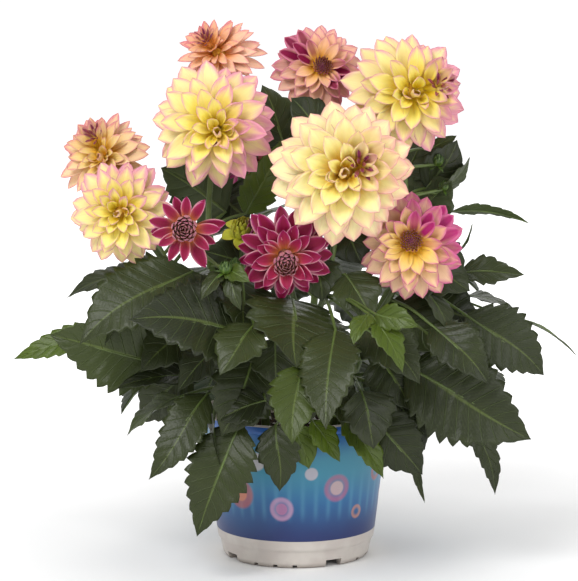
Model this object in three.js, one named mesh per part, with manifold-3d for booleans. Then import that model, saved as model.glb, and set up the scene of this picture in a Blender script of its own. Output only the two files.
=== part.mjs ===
// Potted dahlia: a full plant with twelve heads in a printed nursery pot.
// Millimetres, +Z up, the pot's axis on Z, its foot on Z = 0 and the photographed side towards -Y.
import * as THREE from "three";
import Module from "manifold-3d";

const wasm = await Module();
wasm.setup();

// Pot: thin moulded wall, rolled rim, foot skirt cut by notches, raised floor with drain holes
const POT_HEIGHT = 118;
const WALL_RADIUS_AT_BASE = 61.2;
const WALL_SLOPE = 0.119;
const WALL_THICKNESS = 1.8;
const RIM_DEPTH = 7;
const RIM_OVERHANG = 1.6;
const FLOOR_TOP = 13;
const FLOOR_THICKNESS = 2;
const SKIRT_TOP = 12;
const SKIRT_RADIUS = 59;
const FOOT_OUTER_RADIUS = 56;
const FOOT_INNER_RADIUS = 52;
const GROOVE_HEIGHT = 14.6;
const GROOVE_DEPTH = 0.5;
const POT_SIDES = 32;
const SOIL_SIDES = 16;
const FOOT_COUNT = 4;
const ARCH_TURN = 30.5;
const ARCH = { width: 24, top: 14, height: 6 };
const NOTCH_TURNS = [-33, -16.5, -1];
const NOTCH = { width: 4.4, top: 3.6, height: 2.8 };
const DRAIN_COUNT = 6;
const DRAIN_RADIUS = 4;
const DRAIN_CIRCLE = 46;

// Soil: fills the pot to a little under the rim, with a plain hole for each shoot
const GAP = 0.3;
const SOIL_EDGE_HEIGHT = 100;
const SOIL_CROWN_HEIGHT = 106;
const HOLE_FLOOR = 70;

// Shoots: round green stems that taper towards the heads
const STEM_SIDES = 6;
const STEM_RADIUS = 3.8;
const FORK_RADIUS = 3;
const BRANCH_RADIUS = 2.6;
const NECK_RADIUS = 2.1;
const NECK_SHARE = 0.24;
const BRANCH_STEPS = 4;
const STALK_HALF_WIDTH = 1.5;
const STALK_HALF_DEPTH = 1.1;
const LEAF_HALF_DEPTH = 0.8;
const LEAF_FULLNESS = 3.41;
const LEAF_ARCH = 0.36;
const LEAF_FOLD = 0.12;
const LEAF_RIBS = [0.3, 0.66];
const TOOTH_START = 0.05;
const TOOTH_RUN = 0.86;
const TOOTH_NOTCH = { at: 0.2, share: 0.84 };
const TOOTH_POINT = { at: 0.9, share: 1.05 };
const PETAL_HALF_DEPTH = 0.6;
const PETAL_SPREAD = 0.92;
const PETAL_CUP = 0.3;
const SHOULDER = 0.74;
const VALLEY = 0.4;
const BUD_SIDES = 6;
const CUP_SIDES = 6;

const WHITE_PLASTIC = { color: 0xded7ca, roughness: 0.42, metalness: 0 };
const MOIST_SOIL = { color: 0x2b2119, roughness: 0.95, metalness: 0 };
const GREEN = { color: 0x3d4628, roughness: 0.55, metalness: 0 };
const CREAM = { color: 0xebd08c, roughness: 0.6, metalness: 0 };
const YELLOW = { color: 0xe3d05a, roughness: 0.6, metalness: 0 };
const PEACH = { color: 0xe3a07c, roughness: 0.6, metalness: 0 };
const PINK = { color: 0xd98a8c, roughness: 0.6, metalness: 0 };
const MAGENTA = { color: 0x98204a, roughness: 0.55, metalness: 0 };

// Heads: centre, the way each faces, radius, petals in a layer, layers, slimness of the petals and colour
const HEAD_ROWS = {
  head_centre: [[35, -112, 323], [0.05, -1, 0.2], 54, 11, 4, 1, CREAM],
  head_upper_left: [[-65, -62, 356], [-0.1, -1, 0.25], 49, 11, 4, 1, YELLOW],
  head_top_right: [[86, -28, 376], [0.15, -1, 0.3], 48, 11, 4, 1, YELLOW],
  head_left: [[-136, -66, 286], [-0.15, -1, 0.1], 41, 10, 4, 1, YELLOW],
  head_far_left: [[-155, 14, 320], [-0.35, -0.8, 0.4], 38, 9, 3, 1, PEACH],
  head_right: [[90, -88, 262], [0.05, -1, 0.12], 41, 10, 4, 0.9, PINK],
  head_top_left: [[-62, 34, 400], [-0.3, -0.8, 0.55], 36, 10, 3, 0.9, PEACH],
  head_top_middle: [[17, 22, 392], [0.05, -1, 0.35], 36, 9, 3, 0.9, PINK],
  head_low: [[-9, -96, 258], [0.02, -1, -0.05], 37, 10, 3, 0.85, MAGENTA],
  head_opening: [[-84, -116, 280], [-0.05, -1, 0.1], 32, 8, 2, 0.85, MAGENTA],
  head_behind: [[-37, 30, 318], [0.35, 0.85, 0.35], 36, 9, 3, 0.85, MAGENTA],
  head_half_open: [[-41, -76, 272], [0.1, -0.6, 0.7], 17, 6, 2, 0.9, YELLOW],
};

const HEADS = {};
for (const [name, row] of Object.entries(HEAD_ROWS)) {
  const [at, face, radius, count, layers, slim, look] = row;
  HEADS[name] = { at, face, radius, count, layers, slim, look };
}

// Shoots: where each stands in the soil, where it forks, the heads it carries, its buds and its leaflets.
// A leaflet row gives the base, the tip, the width, the roll in degrees and the teeth on each side.
const SHOOTS = {
  shoot_left: {
    root: [-37, -4],
    fork: [-66, -12, 196],
    heads: ["head_left", "head_far_left"],
    buds: [],
    leaves: [
      [[-116, -25, 230], [-181, -30, 213], 30, -15, 4],
      [[-112, -42, 222], [-150, -60, 180], 34, 0, 4],
      [[-80, -78, 241], [-166, -112, 190], 60, -30, 5],
      [[-153, 5, 179], [-227, 0, 158], 25, -62, 4],
      [[-101, -45, 161], [-194, -46, 186], 60, -54, 5],
      [[-69, -60, 155], [-143, -60, 145], 24, 0, 4],
      [[-92, -34, 134], [-134, -40, 104], 44, 5, 4],
      [[-72, -34, 198], [-122, -67, 160], 44, -60, 3],
      [[-84, -4, 150], [-126, 10, 104], 46, -60, 4],
      [[-100, 16, 226], [-146, 30, 196], 49, -60, 3],
      [[-56, -5, 278], [-107, -18, 315], 52, 0, 4],
      [[-59, 10, 289], [-37, -8, 270], 47, 0, 3],
    ],
  },
  shoot_front_left: {
    root: [-24, -28],
    fork: [-42, -52, 206],
    heads: ["head_opening", "head_half_open", "head_upper_left"],
    buds: [[-54, -114, 250, 6], [-47, -90, 250, 5]],
    leaves: [
      [[-38, -100, 196], [-127, -130, 212], 62, -12, 5],
      [[-69, -78, 145], [-114, -108, 83], 36, -30, 4],
      [[-60, -86, 150], [-58, -104, 90], 18, 50, 3],
      [[-44, -90, 124], [-77, -108, 38], 51, -30, 5],
      [[-32, -118, 206], [-58, -150, 173], 42, 0, 3],
      [[-54, -108, 248], [-35, -124, 240], 15, 0, 2],
      [[-56, -108, 246], [-73, -120, 225], 16, 0, 3],
      [[-52, -108, 246], [-42, -124, 218], 15, 0, 3],
      [[-24, -97, 143], [-62, -99, 128], 28, 0, 3],
      [[-48, -72, 190], [-92, -88, 148], 42, 0, 3],
      [[-34, -76, 172], [-58, -101, 116], 52, -50, 3],
      [[-56, -64, 232], [-96, -84, 216], 34, 0, 3],
      [[-42, -78, 236], [-40, -108, 196], 42, -40, 4],
      [[-40, -30, 280], [-12, -36, 339], 31, 60, 3],
      [[-41, -64, 247], [-72, -74, 257], 34, -40, 3],
    ],
  },
  shoot_front: {
    root: [0, -38],
    fork: [8, -62, 196],
    heads: ["head_low", "head_centre"],
    buds: [],
    leaves: [
      [[-3, -84, 220], [0, -146, 178], 70, -20, 5],
      [[4, -138, 178], [-3, -180, 126], 41, 0, 4],
      [[30, -118, 202], [22, -180, 137], 47, 20, 4],
      [[-16, -92, 123], [-13, -100, 72], 30, 0, 3],
      [[-2, -84, 121], [10, -92, 88], 28, 0, 3],
      [[12, -84, 125], [34, -94, 94], 22, 0, 3],
      [[36, -80, 126], [68, -90, 80], 28, 0, 3],
      [[55, -128, 216], [43, -148, 196], 17, 30, 3],
      [[58, -128, 214], [80, -156, 176], 24, 0, 4],
      [[60, -128, 216], [92, -146, 209], 21, 40, 3],
      [[48, -100, 204], [94, -134, 163], 40, 20, 4],
      [[12, -70, 160], [-2, -86, 116], 32, 0, 4],
      [[24, -74, 168], [36, -92, 122], 30, 0, 4],
      [[38, -84, 240], [58, -106, 208], 40, 20, 4],
      [[15, -74, 251], [20, -88, 219], 32, 20, 3],
      [[-16, -84, 190], [-15, -94, 153], 39, 0, 3],
    ],
  },
  shoot_front_right: {
    root: [30, -24],
    fork: [62, -48, 200],
    heads: ["head_right"],
    buds: [],
    leaves: [
      [[86, -68, 165], [183, -85, 110], 66, 52, 6],
      [[58, -70, 128], [99, -76, 80], 44, 60, 4],
      [[105, -84, 200], [148, -108, 158], 36, 40, 4],
      [[98, -66, 226], [120, -86, 192], 26, 0, 3],
      [[78, -64, 137], [101, -68, 98], 28, 30, 3],
      [[88, -48, 127], [102, -54, 52], 11, 60, 2],
      [[50, -92, 150], [60, -102, 106], 44, 0, 4],
      [[72, -58, 212], [116, -72, 180], 60, 40, 4],
      [[96, -48, 246], [136, -54, 222], 49, 30, 4],
      [[64, -62, 172], [88, -78, 132], 44, 30, 4],
      [[92, -40, 150], [138, -48, 108], 52, 60, 4],
      [[38, -62, 275], [51, -72, 246], 39, 40, 3],
    ],
  },
  shoot_right: {
    root: [37, 6],
    fork: [74, 0, 214],
    heads: ["head_top_right"],
    buds: [[113, 10, 318, 6], [118, 6, 298, 5]],
    leaves: [
      [[134, -36, 200], [197, -28, 150], 46, 62, 5],
      [[138, 5, 209], [179, 8, 193], 20, 10, 3],
      [[130, -20, 231], [181, -22, 230], 28, 35, 4],
      [[125, 20, 275], [188, 24, 265], 14, -40, 3],
      [[128, 5, 242], [141, 5, 267], 9, -10, 2],
      [[112, 5, 292], [139, 12, 320], 20, 0, 3],
      [[107, 20, 325], [129, 24, 336], 12, 60, 2],
      [[138, -12, 114], [160, -14, 50], 20, 55, 3],
      [[166, 25, 190], [229, 40, 154], 13, 0, 3],
      [[110, 32, 170], [172, 76, 116], 50, 0, 4],
      [[86, 42, 142], [128, 84, 84], 40, 0, 3],
      [[100, 42, 232], [152, 86, 198], 42, 0, 3],
      [[92, -12, 204], [148, -20, 192], 55, 50, 3],
      [[94, -8, 248], [134, -24, 226], 36, 10, 3],
      [[88, 8, 268], [124, 2, 304], 47, 30, 3],
      [[86, 14, 160], [140, 14, 124], 42, 20, 3],
      [[84, 20, 300], [104, 30, 342], 37, 50, 3],
      [[104, 12, 295], [129, 21, 333], 34, -60, 3],
    ],
  },
  shoot_back: {
    root: [10, 36],
    fork: [16, 52, 210],
    heads: ["head_top_middle"],
    buds: [[40, 60, 300, 6]],
    leaves: [
      [[22, 88, 232], [40, 162, 192], 54, 0, 4],
      [[58, 80, 208], [112, 140, 160], 50, 0, 4],
      [[52, 76, 150], [92, 128, 94], 48, 0, 4],
      [[8, 96, 168], [12, 180, 118], 60, 0, 4],
      [[16, 82, 124], [36, 122, 50], 42, 0, 3],
      [[60, 50, 270], [100, 84, 260], 30, 0, 3],
      [[6, 74, 256], [8, 118, 236], 42, 0, 3],
      [[34, 66, 196], [68, 98, 156], 44, 0, 3],
      [[40, 56, 150], [62, 84, 96], 40, 0, 3],
      [[30, 60, 296], [52, 92, 286], 34, 0, 3],
      [[0, 66, 210], [-8, 116, 180], 44, 0, 3],
      [[-8, -6, 328], [-27, -10, 380], 36, 60, 3],
      [[17, -12, 343], [-4, -14, 370], 34, -10, 3],
    ],
  },
  shoot_back_left: {
    root: [-24, 28],
    fork: [-46, 40, 212],
    heads: ["head_top_left", "head_behind"],
    buds: [],
    leaves: [
      [[-60, 78, 222], [-104, 142, 184], 52, 0, 4],
      [[-100, 48, 206], [-168, 88, 164], 48, 0, 4],
      [[-90, 52, 150], [-146, 96, 94], 48, 0, 4],
      [[-40, 84, 160], [-58, 164, 108], 56, 0, 4],
      [[-48, 74, 124], [-78, 112, 54], 40, 0, 3],
      [[-92, 40, 262], [-136, 66, 244], 30, 0, 3],
      [[-20, 78, 268], [-28, 122, 254], 30, 0, 3],
      [[-52, 60, 254], [-80, 98, 236], 40, 0, 3],
      [[-66, 44, 190], [-112, 70, 156], 44, 0, 3],
      [[-54, 54, 150], [-80, 84, 96], 40, 0, 3],
      [[-66, 60, 296], [-96, 76, 314], 32, 0, 3],
      [[-84, 28, 150], [-122, 44, 104], 38, 0, 3],
    ],
  },
};

// Petal layers of a head from the outermost to the innermost: opening angle and bend in degrees, and shares
// of the head's radius for a petal's length and width and for the radius and height of its seat
const OUTER_LAYER = { open: 85, bend: 16, length: 0.88, seat: 0.14, rise: -0.07 };
const INNER_LAYER = { open: 22, bend: -12, length: 0.42, seat: 0.05, rise: 0.1 };
const OPEN_SPREAD = 6;
const LENGTH_SPREAD = 0.1;
const BACK_RISE = -0.12;
const CROWN_RISE = 0.2;

const AXIS = new THREE.Vector3(0, 0, 1);
const vector = (p) => new THREE.Vector3(...p);
const radians = THREE.MathUtils.degToRad;

// A steady draw between 0 and 1 for a whole number
function draw(number) {
  const value = Math.sin(number * 12.9898) * 43758.5453;
  return value - Math.floor(value);
}

// Points and triangles gathered as a closed solid
class Shell {
  constructor() {
    this.points = [];
    this.triangles = [];
  }

  point(p) {
    this.points.push(p.x, p.y, p.z);
    return this.points.length / 3 - 1;
  }

  face(a, b, c) {
    this.triangles.push(a, b, c);
  }

  solid() {
    const mesh = new wasm.Mesh({
      numProp: 3,
      vertProperties: new Float32Array(this.points),
      triVerts: new Uint32Array(this.triangles),
    });
    return new wasm.Manifold(mesh);
  }
}

// Diamond ring across a stalk or a blade: left edge, upper middle, right edge, lower middle
function addRing(shell, middle, side, normal, halfWidth, halfDepth, lift) {
  const edge = middle.clone().addScaledVector(normal, lift);
  return [
    shell.point(edge.clone().addScaledVector(side, -halfWidth)),
    shell.point(middle.clone().addScaledVector(normal, halfDepth)),
    shell.point(edge.clone().addScaledVector(side, halfWidth)),
    shell.point(middle.clone().addScaledVector(normal, -halfDepth)),
  ];
}

function capStart(shell, [left, upper, right, lower]) {
  shell.face(left, upper, lower);
  shell.face(upper, right, lower);
}

function joinRings(shell, near, far) {
  for (let i = 0; i < 4; i++) {
    const j = (i + 1) % 4;
    // the split follows the middle line, so that both faces of a blade fold alike
    if (i % 2 === 0) {
      shell.face(near[i], far[i], near[j]);
      shell.face(near[j], far[i], far[j]);
    } else {
      shell.face(near[i], far[j], near[j]);
      shell.face(near[i], far[i], far[j]);
    }
  }
}

function closeTip(shell, ring, tip) {
  for (let i = 0; i < 4; i++) {
    shell.face(ring[i], tip, ring[(i + 1) % 4]);
  }
}

// Half-width of a leaflet along its length, 1 at its broadest: ovate with a drawn-out tip
function leafShape(t) {
  return LEAF_FULLNESS * t ** 0.7 * (1 - t) ** 1.15;
}

// Form of one layer, between the outermost (share 0) and the innermost (share 1)
function layerForm(share) {
  const form = {};
  for (const key of Object.keys(OUTER_LAYER)) {
    form[key] = THREE.MathUtils.lerp(OUTER_LAYER[key], INNER_LAYER[key], share);
  }
  return form;
}

// Head about its own centre, facing +Z, grown as one closed skin: each layer runs out under its petals,
// round their edges and back over them
class Head {
  constructor(head, seed) {
    this.head = head;
    this.seed = seed;
    this.shell = new Shell();
  }

  spoke(turn) {
    return new THREE.Vector3(Math.cos(turn), Math.sin(turn), 0);
  }

  // Spot above the centre by `rise` and out from the axis by `out`, in shares of the radius
  spot(turn, out, rise) {
    const spot = this.spoke(turn).multiplyScalar(out * this.head.radius);
    spot.z = rise * this.head.radius;
    return spot;
  }

  // Middle line of a petal at share t of its length, with the side and normal there
  petalLine(form, turn, t) {
    const outward = this.spoke(turn);
    const open = radians(form.open);
    const bend = radians(form.bend);
    const angle = open + bend * t;
    const length = this.head.radius * form.length;
    const along = ((Math.sin(angle) - Math.sin(open)) / bend) * length;
    const out = ((Math.cos(open) - Math.cos(angle)) / bend) * length;
    const middle = this.spot(turn, form.seat, form.rise);
    middle.addScaledVector(AXIS, along).addScaledVector(outward, out);
    const normal = AXIS.clone().multiplyScalar(Math.sin(angle));
    normal.addScaledVector(outward, -Math.cos(angle));
    return { middle, normal, side: AXIS.clone().cross(outward) };
  }

  // Corners of a petal: valley beside it, left and right shoulder, tip, and its middle on both faces
  petalCorners(form, turn, pitch, draws) {
    const own = { ...form };
    own.open += OPEN_SPREAD * (draws[0] - 0.5);
    own.length *= 1 + LENGTH_SPREAD * (draws[1] - 0.5);
    const valley = this.petalLine(form, turn + pitch / 2, VALLEY);
    const { middle, normal, side } = this.petalLine(own, turn, SHOULDER);
    const distance = middle.dot(this.spoke(turn));
    const reach = 0.5 * PETAL_SPREAD * this.head.slim * pitch * distance;
    const edge = middle.clone().addScaledVector(normal, PETAL_CUP * reach);
    return {
      valley: this.shell.point(valley.middle),
      left: this.shell.point(edge.clone().addScaledVector(side, -reach)),
      right: this.shell.point(edge.clone().addScaledVector(side, reach)),
      upper: this.shell.point(middle.clone().addScaledVector(normal, PETAL_HALF_DEPTH)),
      lower: this.shell.point(middle.clone().addScaledVector(normal, -PETAL_HALF_DEPTH)),
      tip: this.shell.point(this.petalLine(own, turn, 1).middle),
    };
  }

  solid() {
    const { count, layers } = this.head;
    const { shell } = this;
    const pitch = (2 * Math.PI) / count;
    const turnOf = (layer, i) => (i + 0.5 * layer) * pitch + 0.3 * this.seed;
    const ringAt = (layer, out, rise) =>
      Array.from({ length: count }, (_, i) => shell.point(this.spot(turnOf(layer, i), out, rise)));
    const first = layerForm(0);
    let under = ringAt(0, first.seat * 0.9, BACK_RISE);
    const back = shell.point(this.spot(0, 0, BACK_RISE));
    for (let i = 0; i < count; i++) {
      shell.face(back, under[(i + 1) % count], under[i]);
    }
    for (let layer = 0; layer < layers; layer++) {
      const form = layerForm(layer / (layers - 1));
      const next = layerForm(Math.min(1, (layer + 0.5) / (layers - 1)));
      const petals = Array.from({ length: count }, (_, i) => {
        const number = 97 * this.seed + 13 * layer + i;
        return this.petalCorners(form, turnOf(layer, i), pitch, [draw(number), draw(number + 0.5)]);
      });
      const over = ringAt(layer + 1, next.seat, next.rise);
      for (let i = 0; i < count; i++) {
        const petal = petals[i];
        const before = petals[(i + count - 1) % count].valley;
        const overBefore = over[(i + count - 1) % count];
        shell.face(under[i], under[(i + 1) % count], petal.valley);
        shell.face(under[i], petal.lower, before);
        shell.face(before, petal.lower, petal.left);
        shell.face(petal.left, petal.lower, petal.tip);
        shell.face(petal.tip, petal.lower, petal.right);
        shell.face(petal.right, petal.lower, petal.valley);
        shell.face(petal.valley, petal.lower, under[i]);
        shell.face(overBefore, petal.upper, over[i]);
        shell.face(overBefore, before, petal.upper);
        shell.face(before, petal.left, petal.upper);
        shell.face(petal.left, petal.tip, petal.upper);
        shell.face(petal.tip, petal.right, petal.upper);
        shell.face(petal.right, petal.valley, petal.upper);
        shell.face(petal.valley, over[i], petal.upper);
      }
      under = over;
    }
    const crown = shell.point(this.spot(0, 0, CROWN_RISE));
    for (let i = 0; i < count; i++) {
      shell.face(crown, under[i], under[(i + 1) % count]);
    }
    return shell.solid();
  }
}

// Moves a geometry made along +Y to a spot and turns it to the way that `face` gives
function place(geometry, at, face) {
  const straight = new THREE.Vector3(0, 1, 0);
  const turn = new THREE.Quaternion().setFromUnitVectors(straight, vector(face).normalize());
  const matrix = new THREE.Matrix4().compose(vector(at), turn, new THREE.Vector3(1, 1, 1));
  return geometry.applyMatrix4(matrix);
}

// Welds a geometry's equal points and makes a solid of it
function fromGeometry(geometry) {
  const position = geometry.getAttribute("position");
  const known = new Map();
  const shell = new Shell();
  const ids = [];
  for (let i = 0; i < position.count; i++) {
    const p = new THREE.Vector3().fromBufferAttribute(position, i);
    const key = p.toArray().map((v) => Math.round(v * 1e4)).join();
    if (!known.has(key)) {
      known.set(key, shell.point(p));
    }
    ids.push(known.get(key));
  }
  const index = geometry.index.array;
  for (let i = 0; i < index.length; i += 3) {
    const [a, b, c] = [ids[index[i]], ids[index[i + 1]], ids[index[i + 2]]];
    if (a !== b && b !== c && c !== a) {
      shell.face(a, b, c);
    }
  }
  return shell.solid();
}

// Round stem through a list of points, with the radius eased from the first to the last
function tube(points, startRadius, endRadius, sides) {
  const shell = new Shell();
  const rings = points.map((p, k) => {
    const before = points[Math.max(0, k - 1)];
    const after = points[Math.min(points.length - 1, k + 1)];
    const way = after.clone().sub(before).normalize();
    const side = new THREE.Vector3(0, 1, 0).cross(way).normalize();
    const front = way.clone().cross(side);
    const radius = THREE.MathUtils.lerp(startRadius, endRadius, k / (points.length - 1));
    return Array.from({ length: sides }, (_, i) => {
      const angle = (i / sides) * 2 * Math.PI;
      const spoke = side.clone().multiplyScalar(Math.cos(angle)).addScaledVector(front, Math.sin(angle));
      return shell.point(p.clone().addScaledVector(spoke, radius));
    });
  });
  for (let k = 1; k < rings.length; k++) {
    for (let i = 0; i < sides; i++) {
      const j = (i + 1) % sides;
      shell.face(rings[k - 1][i], rings[k - 1][j], rings[k][i]);
      shell.face(rings[k - 1][j], rings[k][j], rings[k][i]);
    }
  }
  const last = rings[rings.length - 1];
  for (let i = 1; i < sides - 1; i++) {
    shell.face(rings[0][0], rings[0][i + 1], rings[0][i]);
    shell.face(last[0], last[i], last[i + 1]);
  }
  return shell.solid();
}

// Back of a head, where its stem ends
function neckOf(head) {
  return vector(head.at).addScaledVector(vector(head.face).normalize(), -NECK_SHARE * head.radius);
}

function branchPoints(start, head) {
  const end = neckOf(head);
  const reach = 0.4 * end.distanceTo(start);
  const lean = end.clone().sub(start).setZ(0).normalize();
  const rising = start.clone().addScaledVector(lean, 0.8 * reach);
  rising.z += 0.6 * reach;
  const arriving = end.clone().addScaledVector(vector(head.face).normalize(), -reach * 0.8);
  const curve = new THREE.CubicBezierCurve3(start, rising, arriving, end);
  return curve.getPoints(BRANCH_STEPS);
}

function trunkPoints(shoot) {
  const [x, y] = shoot.root;
  const fork = vector(shoot.fork);
  const foot = new THREE.Vector3(x, y, HOLE_FLOOR + GAP);
  const collar = new THREE.Vector3(x, y, SOIL_CROWN_HEIGHT + 4);
  const middle = collar.clone().lerp(fork, 0.5).add(new THREE.Vector3(0, 0, 10));
  return [foot, collar, middle, fork];
}

// Green cup of bracts behind a head, a gap short of it
function cup(head) {
  const r = head.radius;
  const back = BACK_RISE * r - GAP;
  const outline = [
    new THREE.Vector2(0, back - 0.2 * r),
    new THREE.Vector2(0.14 * r, back - 0.03 * r),
    new THREE.Vector2(0, back),
  ];
  return fromGeometry(place(new THREE.LatheGeometry(outline, CUP_SIDES), head.at, head.face));
}

// Frame of a leaflet: its upper face looks up and away from the pot's axis, then rolls about its own length
function leafFrame([base, tip, , roll]) {
  const start = vector(base);
  const end = vector(tip);
  const way = end.clone().sub(start);
  const length = way.length();
  way.normalize();
  const away = start.clone().add(end).setZ(0).normalize();
  const sky = away.multiplyScalar(0.8).add(new THREE.Vector3(0, 0, 0.6));
  const normal = sky.addScaledVector(way, -sky.dot(way)).normalize();
  normal.applyAxisAngle(way, radians(roll));
  const side = normal.clone().cross(way);
  return { start, end, length, normal, side };
}

// Ring across a leaf stalk, square to the way the stalk runs
function stalkRing(shell, middle, way, up) {
  const normal = up.clone().addScaledVector(way, -up.dot(way)).normalize();
  const side = normal.clone().cross(way);
  return addRing(shell, middle, side, normal, STALK_HALF_WIDTH, STALK_HALF_DEPTH, 0);
}

// Serrated leaflet on its own stalk, which starts inside the stem at `from`
function leaflet(row, from) {
  const [, , width, , teeth] = row;
  const { start, end, length, normal, side } = leafFrame(row);
  const shell = new Shell();
  const arch = (t) => LEAF_ARCH * length * t * (1 - t);
  const middleAt = (t) => start.clone().lerp(end, t).addScaledVector(normal, arch(t));
  const ribAt = (t, depth) => shell.point(middleAt(t).addScaledVector(normal, depth));
  const stalkWay = start.clone().sub(from).normalize();
  const turnWay = end.clone().sub(start).normalize().add(stalkWay).normalize();
  const root = stalkRing(shell, from, stalkWay, normal);
  const ring = stalkRing(shell, start, turnWay, normal);
  capStart(shell, root);
  joinRings(shell, root, ring);
  const tip = shell.point(end);
  const upper = [ring[1], ...LEAF_RIBS.map((t) => ribAt(t, LEAF_HALF_DEPTH)), tip];
  const lower = [ring[3], ...LEAF_RIBS.map((t) => ribAt(t, -LEAF_HALF_DEPTH)), tip];
  const marks = [0, ...LEAF_RIBS, 1];
  const step = TOOTH_RUN / teeth;
  for (const hand of [-1, 1]) {
    const edge = [{ t: 0, id: hand < 0 ? ring[0] : ring[2] }];
    for (let k = 0; k < teeth; k++) {
      for (const mark of [TOOTH_NOTCH, TOOTH_POINT]) {
        const t = TOOTH_START + (k + mark.at) * step;
        const reach = (width / 2) * leafShape(t) * mark.share;
        const spot = middleAt(t).addScaledVector(side, hand * reach);
        edge.push({ t, id: shell.point(spot.addScaledVector(normal, LEAF_FOLD * reach)) });
      }
    }
    edge.push({ t: 1, id: tip });
    stitch(shell, upper, marks, edge, hand < 0);
    stitch(shell, lower, marks, edge, hand > 0);
  }
  return shell.solid();
}

// Fills the strip between a midrib and an edge, always taking the nearer next point
function stitch(shell, rib, marks, edge, flip) {
  let i = 0;
  let j = 0;
  while (j < edge.length - 1) {
    const alongRib = i < rib.length - 2 && marks[i + 1] < edge[j + 1].t;
    const next = alongRib ? rib[i + 1] : edge[j + 1].id;
    const pair = flip ? [edge[j].id, next] : [next, edge[j].id];
    shell.face(rib[i], ...pair);
    if (alongRib) {
      i++;
    } else {
      j++;
    }
  }
}

// Closed green bud on a short stalk
function bud([x, y, z, radius], from) {
  const outline = [
    new THREE.Vector2(0, -radius),
    new THREE.Vector2(radius, -0.3 * radius),
    new THREE.Vector2(0.8 * radius, 0.5 * radius),
    new THREE.Vector2(0, radius),
  ];
  const knob = place(new THREE.LatheGeometry(outline, BUD_SIDES), [x, y, z], [0, -0.4, 1]);
  const top = new THREE.Vector3(x, y, z);
  return fromGeometry(knob).add(tube([from, top], 1.5, 1.2, 5));
}

// Point of a shoot that a stalk to `goal` leaves from: the nearest to a spot somewhat below the goal
function springOf(lines, goal) {
  const below = goal.clone().add(new THREE.Vector3(0, 0, -8));
  let best = null;
  for (const line of lines) {
    for (let k = 1; k < line.length; k++) {
      for (const share of [0.25, 0.5, 0.75, 1]) {
        const spot = line[k - 1].clone().lerp(line[k], share);
        const nearer = !best || spot.distanceTo(below) < best.distanceTo(below);
        if (spot.z > SOIL_CROWN_HEIGHT + 3 && nearer) {
          best = spot;
        }
      }
    }
  }
  return best;
}

function shootPieces(name) {
  const shoot = SHOOTS[name];
  const trunk = trunkPoints(shoot);
  const fork = trunk[trunk.length - 1];
  const pieces = [tube(trunk, STEM_RADIUS, FORK_RADIUS, STEM_SIDES)];
  const lines = [trunk];
  const middle = trunk[trunk.length - 2];
  shoot.heads.forEach((key, order) => {
    const line = branchPoints(fork.clone().lerp(middle, 0.2 * order), HEADS[key]);
    lines.push(line);
    pieces.push(tube(line, BRANCH_RADIUS, NECK_RADIUS, STEM_SIDES), cup(HEADS[key]));
  });
  for (const row of shoot.leaves) {
    pieces.push(leaflet(row, springOf(lines, vector(row[0]))));
  }
  for (const row of shoot.buds) {
    pieces.push(bud(row, springOf(lines, vector(row))));
  }
  return pieces;
}

const wallRadius = (z) => WALL_RADIUS_AT_BASE + WALL_SLOPE * z;

// Round body about the pot's axis from a profile of radii and heights
function turned(profile, sides) {
  const outline = profile.map(([r, z]) => new THREE.Vector2(r, z));
  return fromGeometry(new THREE.LatheGeometry(outline, sides).rotateX(Math.PI / 2));
}

function pot() {
  const rimBottom = POT_HEIGHT - RIM_DEPTH;
  const inside = (z) => wallRadius(z) - WALL_THICKNESS;
  const profile = [
    [FOOT_INNER_RADIUS, 0],
    [FOOT_OUTER_RADIUS, 0],
    [SKIRT_RADIUS, 4],
    [SKIRT_RADIUS + 1, SKIRT_TOP],
    [wallRadius(GROOVE_HEIGHT) - GROOVE_DEPTH, GROOVE_HEIGHT],
    [wallRadius(SKIRT_TOP + 4.5), SKIRT_TOP + 4.5],
    [wallRadius(rimBottom), rimBottom],
    [wallRadius(rimBottom) + RIM_OVERHANG, rimBottom + 1.2],
    [wallRadius(POT_HEIGHT) + RIM_OVERHANG, POT_HEIGHT - 1],
    [wallRadius(POT_HEIGHT) + 0.2, POT_HEIGHT],
    [inside(POT_HEIGHT), POT_HEIGHT - 0.6],
    [inside(FLOOR_TOP), FLOOR_TOP],
    [0, FLOOR_TOP],
    [0, FLOOR_TOP - FLOOR_THICKNESS],
    [FOOT_INNER_RADIUS + 1, FLOOR_TOP - FLOOR_THICKNESS],
    [FOOT_INNER_RADIUS, 0],
  ];
  let shell = turned(profile, POT_SIDES);
  const ringRadius = (FOOT_INNER_RADIUS + SKIRT_RADIUS) / 2;
  // cuts a block that narrows upwards through every foot, at a turn from the photographed side
  const cutFoot = (turn, { width, top, height }) => {
    for (let i = 0; i < FOOT_COUNT; i++) {
      const block = new THREE.BoxGeometry(16, 1, 2 * height).translate(ringRadius, 0, 0);
      const position = block.getAttribute("position");
      for (let k = 0; k < position.count; k++) {
        const span = position.getZ(k) > 0 ? top : 2 * width - top;
        position.setY(k, position.getY(k) * span);
      }
      block.rotateZ(radians(turn - 90 + (i * 360) / FOOT_COUNT));
      shell = shell.subtract(fromGeometry(block));
    }
  };
  cutFoot(ARCH_TURN, ARCH);
  NOTCH_TURNS.forEach((turn) => cutFoot(turn, NOTCH));
  for (let i = 0; i < DRAIN_COUNT; i++) {
    const drain = new THREE.CylinderGeometry(DRAIN_RADIUS, DRAIN_RADIUS, 10, 10);
    drain.rotateX(Math.PI / 2).translate(DRAIN_CIRCLE, 0, FLOOR_TOP);
    shell = shell.subtract(fromGeometry(drain.rotateZ((i / DRAIN_COUNT) * 2 * Math.PI)));
  }
  return shell;
}

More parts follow.
